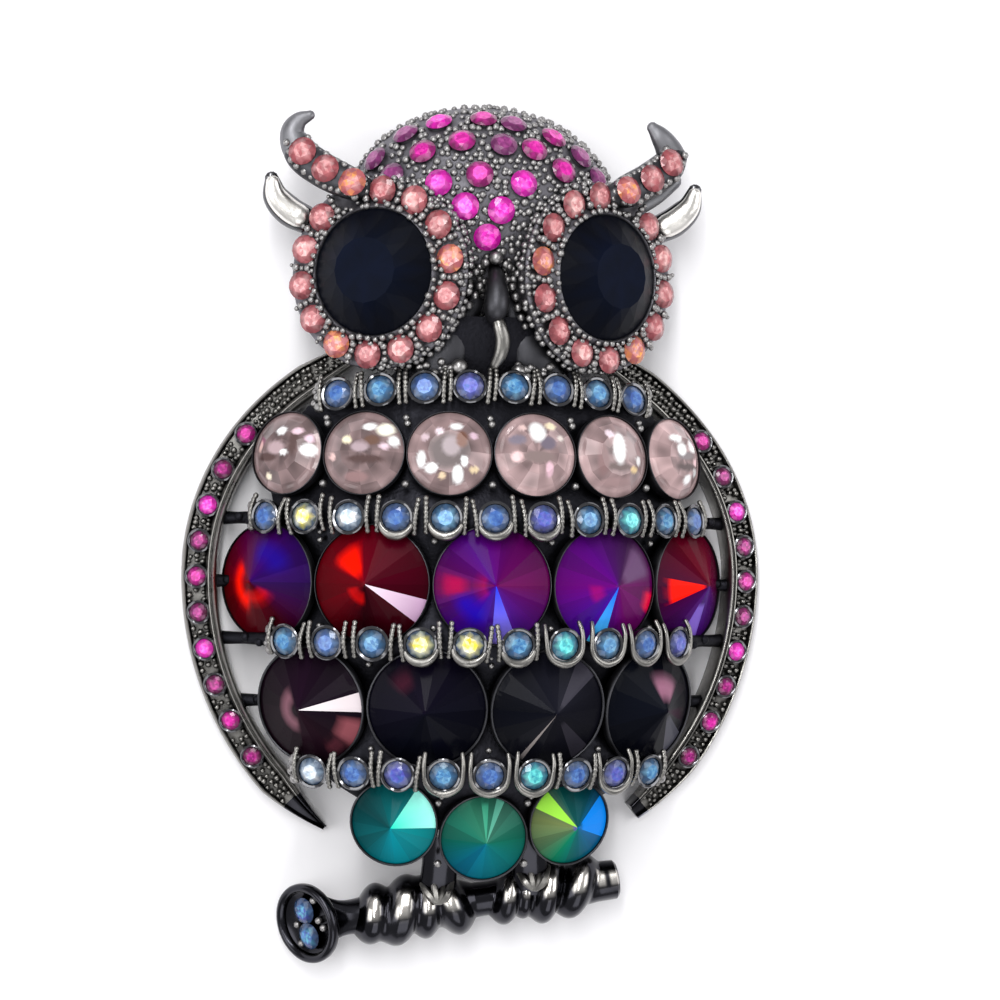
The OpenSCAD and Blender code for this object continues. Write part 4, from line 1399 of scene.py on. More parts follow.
@dataclass
class RowStones:
    """The stones of the rows.

    Attributes:
        reds: The pointed stones of the fourth row.
        purples: Those of the sixth row.
        teals: Those of the last row.
        clears: Patches of light and shade in the clear stones.
        shades: Brightness of each clear stone.
        special: For some small rows the places of stones that flash another colour.
    """

    reds: tuple[PointedStone, ...] = (
        PointedStone(
            ((0, "#3a0a6a"), (45, "#40087a"), (90, "#500868"), (140, "#7a0030"), (180, "#8a0010"),
             (250, "#6a0014"), (300, "#540018")),
            (Flash("#ff1400", 140, 245, 0.18, 0.62, 14), Flash("#ff1000", 235, 330, 0.14, 0.42, 14),
             Flash("#1a0c90", 25, 95, 0.25, 0.8, 25))),
        PointedStone(
            ((0, "#54001a"), (60, "#6a0020"), (120, "#8a0018"), (200, "#7a0014"), (260, "#30000c"),
             (320, "#4c0014")),
            (Flash("#ff1400", 108, 150, 0.10, 0.78, 12), Flash("#ff1008", 195, 262, 0.14, 0.40, 12),
             Flash("#f4dcec", 322, 344, rim="#b893b4"))),
        PointedStone(
            ((0, "#84086a"), (60, "#760874"), (120, "#6608a0"), (180, "#7a0860"), (240, "#4a10b8"),
             (300, "#6620b0")),
            (Flash("#a80048", 168, 192, 0.42, 0.92, 8), Flash("#f01030", 140, 235, 0.12, 0.32, 15),
             Flash("#1208b0", 200, 255, 0.32, 0.8, 20), Flash("#2040ff", 272, 294, rim="#8a78d8"))),
        PointedStone(
            ((0, "#860878"), (60, "#5a2a6a"), (120, "#6a0c98"), (180, "#7c0890"), (240, "#5414c0"),
             (300, "#84087a")),
            (Flash("#e01038", 180, 220, 0.24, 0.46, 12), Flash("#6a4a70", 12, 52, 0.12, 0.95, 8),
             Flash("#e00c40", 333, 353, 0.74, 1.0, 6), Flash("#2060ff", 249, 271, rim="#50c8ff"))),
        PointedStone(
            ((0, "#7a0a48"), (60, "#840a30"), (120, "#760024"), (200, "#580048"), (280, "#581898"),
             (330, "#661888")),
            (Flash("#ff1808", 172, 205, 0.05, 0.8), Flash("#7a5ac0", 256, 284, 0.3, 1.0))),
    )
    purples: tuple[PointedStone, ...] = (
        PointedStone(
            ((0, "#180c1c"), (90, "#241024"), (180, "#1c0c18"), (300, "#281420")),
            (Flash("#b07888", 130, 255, 0.14, 0.46, 16), Flash("#f0e8ea", -3, 17, rim="#d8ccd0"),
             Flash("#84464e", 318, 346, 0.6, 1.0, 8), Flash("#5a2a34", 294, 314, 0.68, 0.98, 8))),
        PointedStone(
            ((0, "#0c0c1a"), (120, "#140e22"), (240, "#0a0c18")),
            (Flash("#3a1424", 115, 143, 0.4, 0.85, 12),)),
        PointedStone(
            ((0, "#14141f"), (60, "#242430"), (180, "#0c0e18"), (270, "#181820")),
            (Flash("#3c3a44", 35, 62, 0.1, 1.0), Flash("#8a8280", 240, 246, 0.0, 0.95),
             Flash("#2a2830", 300, 322, 0.2, 1.0))),
        PointedStone(
            ((0, "#14121e"), (120, "#101420"), (240, "#0c0e18")),
            (Flash("#a06c84", 46, 108, 0.12, 0.66, 12), Flash("#44444e", 300, 328, 0.15, 1.0))),
    )
    teals: tuple[PointedStone, ...] = (
        PointedStone(
            ((0, "#0a8a8c"), (90, "#086468"), (150, "#08484c"), (220, "#08666c"), (270, "#0890a0")),
            (Flash("#18e0c0", -4, 56, rim="#a8fff2"),)),
        PointedStone(
            ((0, "#14705c"), (60, "#3a7a66"), (110, "#2c8064"), (180, "#107060"), (235, "#087090"),
             (290, "#0c7a84")),
            (Flash("#58a890", 62, 74), Flash("#40a080", 84, 96, 0.0, 0.9))),
        PointedStone(
            ((0, "#0a78c8"), (60, "#08505c"), (110, "#0a5a58"), (170, "#7a8a54"), (215, "#5a8058"),
             (250, "#0e8a64"), (300, "#0c6a84")),
            (Flash("#9ae048", 128, 160), Flash("#0c88f0", -22, 42, 0.12, 1.0),
             Flash("#5a48b0", 150, 250, 0.0, 0.12))),
    )
    clears: tuple[tuple[Spot, ...], ...] = (
        (Spot(-0.40, -0.16, 0.30, 0.10, "#5a4644"), Spot(0.36, 0.22, 0.12, 0.34, "#5e4a48"),
         Spot(-0.14, 0.08, 0.24, 0.16, "#b8a0a4"), Spot(-0.02, 0.50, 0.14, 0.10),
         Spot(0.40, 0.50, 0.12, 0.09, "#f0d0dc"), Spot(0.71, 0.34, 0.10, 0.10, "#dcbccc"),
         Spot(0.74, 0.04, 0.18, 0.15), Spot(0.10, -0.03, 0.11, 0.07),
         Spot(-0.36, -0.61, 0.10, 0.08, "#fff2d8"), Spot(-0.66, 0.12, 0.09, 0.14, "#e8c0b8")),
        (Spot(0.13, -0.20, 0.46, 0.10, "#584442"), Spot(0.28, 0.26, 0.20, 0.12, "#705448"),
         Spot(-0.02, 0.10, 0.22, 0.12, "#b4a0a6"), Spot(0.56, 0.54, 0.20, 0.16, "#fffbe8"),
         Spot(0.18, 0.60, 0.16, 0.10), Spot(-0.36, 0.27, 0.12, 0.09, "#fff4d0"), Spot(0.77, 0.26, 0.12, 0.12),
         Spot(0.58, 0.12, 0.10, 0.08, "#f0d4e0"), Spot(-0.74, -0.13, 0.09, 0.08, "#f0c8c4"),
         Spot(-0.1, -0.62, 0.3, 0.12, "#a08080")),
        (Spot(0.0, 0.0, 0.48, 0.42, "#584a4a"), Spot(0.05, 0.14, 0.22, 0.24, "#9c8e92"),
         Spot(0.3, 0.3, 0.14, 0.2, "#7a5548"), Spot(0.16, 0.62, 0.15, 0.09),
         Spot(-0.24, 0.50, 0.10, 0.09, "#f8e4ec"), Spot(-0.67, -0.18, 0.10, 0.20),
         Spot(-0.43, -0.40, 0.15, 0.12), Spot(0.21, -0.55, 0.13, 0.20), Spot(0.37, -0.24, 0.08, 0.13),
         Spot(-0.17, -0.58, 0.08, 0.08, "#f8dcb8"), Spot(0.60, -0.42, 0.11, 0.07, "#f0d8b0"),
         Spot(0.58, 0.40, 0.09, 0.09, "#e4c4d4"), Spot(-0.58, 0.36, 0.10, 0.09, "#dcc4cc")),
        (Spot(0.25, 0.24, 0.20, 0.16, "#746a78"), Spot(-0.50, 0.32, 0.20, 0.12, "#857c8a"),
         Spot(0.0, -0.1, 0.4, 0.14, "#8a7876"), Spot(0.0, 0.52, 0.20, 0.24),
         Spot(0.37, 0.68, 0.13, 0.10, "#ffeecc"), Spot(-0.34, 0.63, 0.09, 0.08, "#ecccc8"),
         Spot(-0.53, -0.10, 0.13, 0.13, "#f0cccc"), Spot(0.27, -0.40, 0.10, 0.18, "#e8c0cc"),
         Spot(0.60, 0.38, 0.09, 0.08, "#e8dcd4")),
        (Spot(0.0, -0.30, 0.36, 0.10, "#645250"), Spot(-0.45, -0.1, 0.14, 0.4, "#8c7070"),
         Spot(0.34, 0.2, 0.22, 0.3, "#a89494"), Spot(0.02, 0.16, 0.17, 0.36),
         Spot(-0.21, 0.52, 0.11, 0.10, "#f4e0ea"), Spot(0.61, -0.13, 0.11, 0.11),
         Spot(0.44, -0.36, 0.14, 0.07, "#e8c890"), Spot(-0.1, -0.66, 0.4, 0.10, "#a88c8c")),
        (Spot(0.09, -0.25, 0.36, 0.10, "#625454"), Spot(0.1, 0.04, 0.3, 0.1, "#8c8284"),
         Spot(-0.18, 0.48, 0.20, 0.09), Spot(-0.02, 0.20, 0.17, 0.16), Spot(0.42, 0.32, 0.16, 0.20),
         Spot(0.47, -0.39, 0.13, 0.09), Spot(0.11, -0.56, 0.15, 0.11),
         Spot(0.49, -0.14, 0.12, 0.10, "#e8c4c8"), Spot(-0.5, -0.4, 0.2, 0.12, "#b89c9c")),
    )
    shades: tuple[float, ...] = (0.66, 0.66, 0.84, 1.2, 0.98, 1.25)
    special: dict[int, tuple[tuple[int, Palette], ...]] = field(default_factory=lambda: {
        2: ((1, YELLOW), (2, WHITE), (8, AQUA)), 4: ((3, YELLOW), (4, YELLOW), (6, AQUA)),
        6: ((0, WHITE), (5, AQUA)),
    })

    def build(self) -> None:
        """Makes the stones of all the rows."""
        sets = {3: (self.reds, "red", 0.5), 5: (self.purples, "purple", 0.6), 7: (self.teals, "teal", 0.74)}
        for row, r in enumerate(OWL.rows):
            frames, cut = OWL.row_frames(row), CUTS[r.kind]
            if row in sets:
                for i, spec in enumerate(sets[row][0]):
                    stone = pointed(cut, spec.base, spec.flashes, 40 * row + i, sets[row][2])
                    name = f"{sets[row][1]}_{i + 1}"
                    add_piece(f"stone_{name}", stone.copied(frames[i:i + 1]), DEEP, None,
                              [name])
            elif r.kind is Kind.CLEAR:
                for i, spots in enumerate(self.clears):
                    stone = chaton(cut, spots, 70 + i, self.shades[i]).copied(frames[i:i + 1])
                    add_piece(f"stone_clear_{i + 1}", stone, CRYSTAL, None,
                              [f"clear_{i + 1}"])
            else:
                palettes = [OPALS[(0, 1, 0, 2, 1)[(i + row) % 5]] for i in range(r.count)]
                for place, palette in self.special.get(row, ()):
                    palettes[place] = palette
                name = f"blue_row_{row // 2 + 1}"
                add_field(f"stones_{name}", cut, frames, palettes, 90 + row, name)


@dataclass
class Head:
    """Eyes, brows, tufts, crown and beak.

    Attributes:
        slots: Places for stones round an eye; the last is left to the brow.
        first_slot: Angle in degrees from the eye's top to the first of them.
        stone_up: Height of the ring's stones above the ring.
        tuft_r: Radius of a tuft at its root.
        brow: Course of a brow: shares of the ring's radius across, up and high, and of tuft_r.
        lower: Course of a lower tuft in the same shares.
        tips: Courses of the two upper tufts' smooth tips, left and right.
        chart: Places of the crown's stones, as shares of its half width and half length.
        crown_tints: A letter a stone of the crown: f for fuchsia, m for magenta, p for plum.
        full: Share by which the foiled small stones look larger than their seats.
        face_up: Height of a lower tuft's silver face above its leaf.
    """

    slots: int = 14
    first_slot: float = 5.0
    stone_up: float = 0.25
    tuft_r: float = 1.5
    brow: tuple[tuple[float, ...], ...] = (
        (0.14, 1.02, -0.12, 0.68), (0.31, 1.09, -0.16, 0.92), (0.63, 1.26, -0.30, 1.00),
        (0.90, 1.48, -0.42, 0.95), (0.97, 1.74, -0.40, 0.62), (0.78, 1.92, -0.34, 0.30),
    )
    lower: tuple[tuple[float, ...], ...] = (
        (0.80, 0.68, -0.62, 0.80), (1.02, 0.79, -0.62, 0.86), (1.19, 0.96, -0.58, 0.74),
        (1.25, 1.17, -0.50, 0.40),
    )
    tips: tuple[tuple[tuple[float, ...], ...], ...] = (
        ((0.86, 1.44, -0.42, 0.98), (0.97, 1.60, -0.42, 0.86), (1.00, 1.75, -0.40, 0.68),
         (0.93, 1.87, -0.36, 0.48),
         (0.80, 1.935, -0.34, 0.28)),
        ((0.88, 1.44, -0.42, 0.98), (0.92, 1.58, -0.42, 0.86), (0.86, 1.71, -0.40, 0.72),
         (0.76, 1.83, -0.36, 0.56),
         (0.67, 1.92, -0.34, 0.34)),
    )
    chart: tuple[tuple[float, float], ...] = (
        (-0.05, 0.79), (0.16, 0.75), (-0.36, 0.76), (0.45, 0.64), (-0.59, 0.65), (-0.22, 0.56), (0.07, 0.53),
        (0.29, 0.50), (-0.49, 0.46), (0.65, 0.48), (-0.80, 0.42), (0.50, 0.32), (0.78, 0.28), (-0.70, 0.24),
        (-0.11, 0.24), (0.20, 0.17), (-0.39, 0.16), (-0.21, -0.05), (0.04, -0.08), (-0.05, -0.32),
    )
    crown_tints: str = "mpfmpmpmmppmppmfffff"
    full: float = 1.1
    face_up: float = 0.40

    def ring_frames(self, side: Side) -> np.ndarray:
        """Frames of the stones round an eye."""
        a = 90 + side.value * (self.first_slot + 360 / self.slots * np.arange(self.slots - 1))
        local = polar(OWL.eye_ring_r, np.radians(a), self.stone_up)
        return nested(OWL.eye_frame(side), frames_at(local, turn_about(2, a)))

    def brow_frames(self, side: Side) -> np.ndarray:
        """Frames of the three stones of a brow beyond the ring."""
        rows = np.array(self.brow)[1:4]
        places = OWL.from_eye(side, rows)
        places[:, 2] += rows[:, 3] * self.tuft_r * 0.92
        return frames_at(places, turn_about(1, side.value * 22.0) @ turn_about(0, -10.0))

    def cup(self, side: Side) -> Surface:
        """Turns the cup of an eye, with its groove and its collar."""
        outer, r = OWL.eye_ring_r + 1.29, EYE_CUT.diameter / 2
        return revolved([
            (0.0, -4.4), (0.74 * outer, -4.4), (outer - 0.35, -1.1), (outer - 0.08, -0.7),
            (outer - 0.12, -0.5),
            (outer - 0.3, -0.38), (outer - 0.6, -0.36), (OWL.eye_ring_r, -0.5), (r + 0.55, 0.1),
            (r + 0.36, 0.45), (r + 0.22, 0.66), (r + 0.14, 0.70), (r + 0.05, 0.62), (r + 0.05, 0.40),
            (0.0, -2.1),
        ], 64).copied(OWL.eye_frame(side))

    def ring_grains(self, side: Side) -> Surface:
        """Grains round an eye: inside the ring, outside it and in pairs between its stones."""
        rng = np.random.default_rng(21 if side is Side.LEFT else 22)
        rows = []

        def scatter(radius: float, angles: np.ndarray, height: float, size: float) -> None:
            """Adds grains at angles, with wavering radii and sizes."""
            count = len(angles)
            rows.append((radius + rng.uniform(-0.1, 0.1, count), angles, np.full(count, height),
                         size * rng.uniform(0.75, 1.25, count)))

        for radius, height, count, size in ((5.60, 0.66, 46, 0.27), (6.0, 0.30, 40, 0.24)):
            scatter(radius, (np.arange(count) + rng.uniform(-0.3, 0.3, count)) * TAU / count, height, size)
        gap = self.first_slot + 360 / self.slots * (np.arange(self.slots) - 0.5)
        gap = np.radians(90 + side.value * gap)
        for radius, size in ((6.25, 0.34), (6.8, 0.27), (7.35, 0.34), (7.8, 0.2)):
            rows.append((np.full(len(gap), radius), gap + rng.uniform(-0.02, 0.02, len(gap)),
                         np.full(len(gap), 0.22), size * rng.uniform(0.85, 1.15, len(gap))))
        inward = 0.0 if side is Side.LEFT else math.pi
        for radius, height, count, reach in ((7.55, -0.20, 30, 1.5), (7.95, -0.40, 34, 1.6),
                                             (8.12, -0.95, 34, 1.4)):
            angles = inward + np.linspace(-reach, reach, count) + rng.uniform(-0.03, 0.03, count)
            scatter(radius, angles, height, 0.30)
        r, a, z, size = (np.concatenate(c) for c in zip(*rows))
        return grain(8).copied(nested(OWL.eye_frame(side), frames_at(polar(r, a, z), sizes=size)))

    def brow_grains(self, side: Side) -> Surface:
        """Grains on both flanks of a brow, beside and between its stones."""
        path = smooth_path(self.brow, 61)[6:44]
        rng = np.random.default_rng(26 + side.value)
        along = np.repeat(path[::3], 2, 0)
        way = np.where(np.arange(len(along)) % 2 == 0, 1.0, -1.0)
        ahead = unit(np.gradient(path[:, :2], axis=0))[::3].repeat(2, 0)
        across = np.stack([-ahead[:, 1] * side.value, ahead[:, 0], 0 * way], -1)
        reach = along[:, 3:4] * self.tuft_r * way[:, None]
        p = OWL.from_eye(side, along) + across * reach * 0.72 + [0, 0, 0.75]
        p = p + rng.uniform(-0.12, 0.12, p.shape)
        return grain(8).copied(frames_at(p, sizes=rng.uniform(0.26, 0.38, len(p))))

    def horn(self, side: Side, course: Sequence[Sequence[float]], first: float, last: float, wide: float,
             flat: float) -> Surface:
        """Carries a round section along a stretch of a tuft's course.

        Args:
            side: Side of the owl.
            course: Course in shares.
            first: Share of the course where the stretch starts.
            last: Share where it ends.
            wide: Factor on the section's radius.
            flat: Height of the section as a share of its width.

        Returns:
            The stretch.
        """
        rows = smooth_path(course, 61)[int(60 * first):int(60 * last) + 1]
        return tube(OWL.from_eye(side, rows), rows[:, 3] * self.tuft_r * wide, 16, flat=flat)

    def crown_point(self, x: np.ndarray, y: np.ndarray, shrink: float = 0.0) -> np.ndarray:
        """Points of the crown over (x, y): z = z0 + h sqrt(1 - (x / a)^2 - (y / b)^2)."""
        rest = np.clip(1 - (x / (OWL.crown_half_w - shrink)) ** 2 - (y / (OWL.crown_half_l - shrink)) ** 2, 0,
                       1)
        z = OWL.crown_z + (OWL.crown_rise - shrink) * np.sqrt(rest)
        return np.stack([x, y + OWL.crown_y, z], -1) + OWL.shift

    def crown_frames(self) -> np.ndarray:
        """Frames of the crown's stones, square to the dome."""
        x, y = (np.array(self.chart) * [OWL.crown_half_w, OWL.crown_half_l]).T
        p = self.crown_point(x, y)
        slope = np.stack([x / OWL.crown_half_w**2, y / OWL.crown_half_l**2,
                          (p[:, 2] - OWL.crown_z) / OWL.crown_rise**2], -1)
        way = np.degrees(np.arctan2(slope[:, 1], slope[:, 0]))
        tip = np.degrees(np.arctan2(np.linalg.norm(slope[:, :2], axis=1), slope[:, 2]))
        return frames_at(p, turn_about(2, way) @ turn_about(1, tip))

    def crown(self) -> Surface:
        """The front of an ellipsoid, from just behind its widest ring, 0.3 mm smaller than the crown."""
        up = np.radians(np.concatenate([np.linspace(-3.5, 80, 22), [90.0]]))[:, None]
        q = circle(72)
        half = np.array([OWL.crown_half_w, OWL.crown_half_l, OWL.crown_rise]) - 0.3
        wide = np.cos(up) * (up < 1.57)
        rings = np.stack([wide * half[0] * np.cos(q), wide * half[1] * np.sin(q),
                          np.broadcast_to(np.sin(up) * half[2], (len(up), 72))], -1)
        return skin(rings + np.array([0, OWL.crown_y, OWL.crown_z]) + OWL.shift)

    def crown_grains(self) -> Surface:
        """Scatters grains over the crown on a jittered honeycomb, clear of its stones."""
        step = 0.66
        rng = np.random.default_rng(31)
        i, j = np.meshgrid(np.arange(-20, 21), np.arange(-19, 20))
        x = ((i + 0.5 * (j % 2)) * step + rng.uniform(-0.2, 0.2, i.shape)).ravel()
        y = (j * step * 0.87 + rng.uniform(-0.2, 0.2, i.shape)).ravel()
        inside = (x / (OWL.crown_half_w - 0.5)) ** 2 + (y / (OWL.crown_half_l - 0.5)) ** 2 < 1.0
        x, y = x[inside], y[inside]
        edge = circle(84)
        x = np.concatenate([x, (OWL.crown_half_w - 0.42) * np.cos(edge)])
        y = np.concatenate([y, (OWL.crown_half_l - 0.42) * np.sin(edge)])
        p = self.crown_point(x, y, 0.28)
        far = nearest(p, self.crown_frames()[:, :, 3]) > CROWN_CUT.diameter / 2 + 0.16
        eyes = np.concatenate([OWL.eye_frame(side)[:, :2, 3] for side in Side])
        clear = nearest(p[:, :2], eyes) > 6.9
        p = p[far & clear]
        sizes = rng.uniform(0.24, 0.38, len(p))
        top = OWL.crown_y + OWL.crown_half_l + OWL.shift[1]
        inside = p[:, 1] + sizes < top - 0.02
        return grain(8).copied(frames_at(p[inside], sizes=sizes[inside]))

    def crown_stems(self) -> Surface:
        """Stems under the crown's stones, hidden by them from the front."""
        r = CROWN_CUT.diameter / 2
        section = [(0.5 * r, -0.9), (r - 0.05, -0.75), (r, -0.16), (r - 0.1, -0.12), (0.45 * r, -0.62)]
        return revolved(section, 16, looped=True).copied(self.crown_frames())

    def beak(self) -> Surface:
        """The ridge of the beak, from the crown down to its hooked tip."""
        return swept([(0.25, 0.6, 9.6, 0.45), (0.25, -0.4, 10.6, 0.75), (0.2, -1.6, 11.3, 1.0),
                      (0.15, -2.8, 11.6, 1.05),
                      (0.1, -3.5, 11.1, 0.85)], 25, up=OWL.eye_y)

    def keel(self) -> Surface:
        """The bright curved keel below the ridge."""
        return swept([(0.1, -3.4, 11.2, 0.40), (0.45, -4.4, 11.4, 0.56), (0.75, -5.5, 11.3, 0.62),
                      (0.65, -6.6, 11.0, 0.58), (0.25, -7.6, 10.5, 0.42)], 25, flat=0.8, up=OWL.eye_y)

    def cheeks(self) -> Surface:
        """Smooth planes that fall from the beak to the throat, one on each side."""
        course = [(1.3, -2.4, 9.4, 0.7), (2.6, -4.6, 9.4, 1.2), (3.6, -6.6, 9.2, 1.7), (4.6, -8.8, 8.6, 2.1)]
        return joined([swept(course, 21, flat=0.42, up=OWL.eye_y, mirror=side.value) for side in Side])

    def throat(self) -> Surface:
        """The plate between the beak and the first row."""
        q = circle(40)
        c, n = np.cos(q), np.sin(q)
        rings = []
        for up, half_w, half_t, z in ((-3.6, 4.4, 1.4, 8.9), (-5.5, 5.4, 1.4, 8.6), (-7.5, 7.2, 1.3, 8.2),
                                      (-9.7, 9.0, 1.1, 7.7), (-10.4, 9.0, 1.0, 7.5)):
            x = half_w * np.sign(c) * np.abs(c) ** 0.4
            h = half_t * np.sign(n) * np.abs(n) ** 0.6 - 0.012 * x**2
            rings.append(np.stack([x, np.full(40, OWL.eye_y + up), z + h], -1) + OWL.shift)
        return lofted(rings, 17)

    def beak_grains(self) -> Surface:
        """Rows of grains beside the beak and larger ones at the throat."""
        spots = np.array([
            (-1.1, -1.1, 10.6, 0.34), (-1.5, -1.9, 10.6, 0.34), (-2.0, -2.7, 10.5, 0.36),
            (-2.6, -3.4, 10.3, 0.36),
            (-3.0, -4.1, 10.0, 0.33), (1.6, -1.1, 10.6, 0.34), (1.9, -1.9, 10.6, 0.36),
            (2.1, -2.8, 10.5, 0.36),
            (2.4, -3.6, 10.4, 0.34), (2.8, -4.3, 10.1, 0.32), (-2.7, -7.8, 10.0, 0.72),
            (-3.6, -8.3, 9.7, 0.5),
            (-1.9, -8.5, 9.9, 0.45), (2.3, -8.1, 10.0, 0.66), (3.1, -8.6, 9.8, 0.5), (1.5, -8.7, 9.9, 0.45),
            (-5.6, -8.3, 9.4, 0.4), (-6.3, -8.7, 9.2, 0.38), (-4.6, -8.9, 9.4, 0.36), (4.3, -8.8, 9.5, 0.42),
            (5.2, -8.4, 9.4, 0.42), (6.0, -8.8, 9.2, 0.4), (0.25, 1.3, 10.4, 0.62), (-0.6, 0.9, 10.2, 0.4),
            (1.1, 0.8, 10.2, 0.38),
        ])
        rng = np.random.default_rng(33)
        middles = np.array([(-3.3, -8.0, 9.8), (2.9, -8.2, 9.8), (-5.2, -8.2, 9.5), (5.0, -8.1, 9.5),
                            (-1.5, 0.3, 10.0), (1.9, 0.2, 10.0)])
        more = np.repeat(middles, 8, 0) + rng.uniform(-1, 1, (48, 3)) * [1.0, 0.7, 0.3]
        spots = np.concatenate([spots, np.c_[more, rng.uniform(0.24, 0.38, 48)]])
        places = spots[:, :3] + [0, OWL.eye_y, 0] + OWL.shift
        return grain(12).copied(frames_at(places, sizes=spots[:, 3]))

    def strut(self) -> Surface:
        """The smooth strut between the two tufts on the right."""
        course = smooth_path([(0.55, 0.95, -0.55), (0.78, 1.10, -0.58), (1.0, 1.30, -0.6)], 13)
        return tube(OWL.from_eye(Side.RIGHT, course), 0.7, 12, flat=0.6)

    def build(self) -> None:
        """Makes the head."""
        metal, bright = [self.crown_stems()], [self.crown_grains(), self.beak_grains()]
        for side in Side:
            name = side.name.lower()
            metal.append(self.cup(side))
            bright += [self.ring_grains(side), self.brow_grains(side)]
            add_piece(f"brow_{name}", self.horn(side, self.brow, 0.0, 0.66, 1.0, 0.85), SMOKE, 60)
            tip = self.horn(side, self.tips[side is Side.RIGHT], 0.0, 1.0, 1.0, 0.75)
            add_piece(f"tuft_tip_{name}", tip, SATIN, 60)
            leaf = self.horn(side, self.lower, 0.0, 1.0, 1.0, 0.6)
            pillow = self.horn(side, self.lower, 0.15, 0.92, 0.80, 0.75)
            pillow.points[:, 2] += self.face_up
            add_piece(f"leaf_{name}", leaf, GUNMETAL, 60)
            add_piece(f"leaf_face_{name}", pillow, SILVER, 60)
            raised = nested(OWL.eye_frame(side), frames_at(np.array([[0, 0, OWL.eye_up]])))
            eye = set_stones(brilliant(EYE_CUT), raised, [NIGHT], 3, 0.08, 0.7)
            add_piece(f"stone_eye_{name}", eye, ONYX, None, [f"eye_{name}"])
            frames = grown(np.concatenate([self.ring_frames(side), self.brow_frames(side)]), self.full)
            add_field(f"stones_brow_{name}", BROW_CUT, frames, [ROSE, PEACH, ROSE, SUNSET, ROSE],
                      60 + side.value, f"brow_stones_{name}")
        add_piece("head_metal", joined(metal), ASH, 60)
        add_piece("crown_dome", self.crown(), ASH, 60)
        add_piece("throat", self.throat(), GROUND, 60)
        add_piece("head_grains", joined(bright), BEADED, 80)
        add_piece("beak_ridge", joined([self.beak(), self.cheeks()]), SMOKE, 60)
        add_piece("tuft_strut", self.strut(), SATIN, 60)
        add_piece("beak_keel", self.keel(), WORN, 60)
        chosen = [{"f": FUCHSIA, "m": MAGENTA, "p": PLUM}[letter] for letter in self.crown_tints]
        frames = grown(self.crown_frames(), self.full)
        add_field("stones_crown", CROWN_CUT, frames, chosen, 50, "crown_stones")


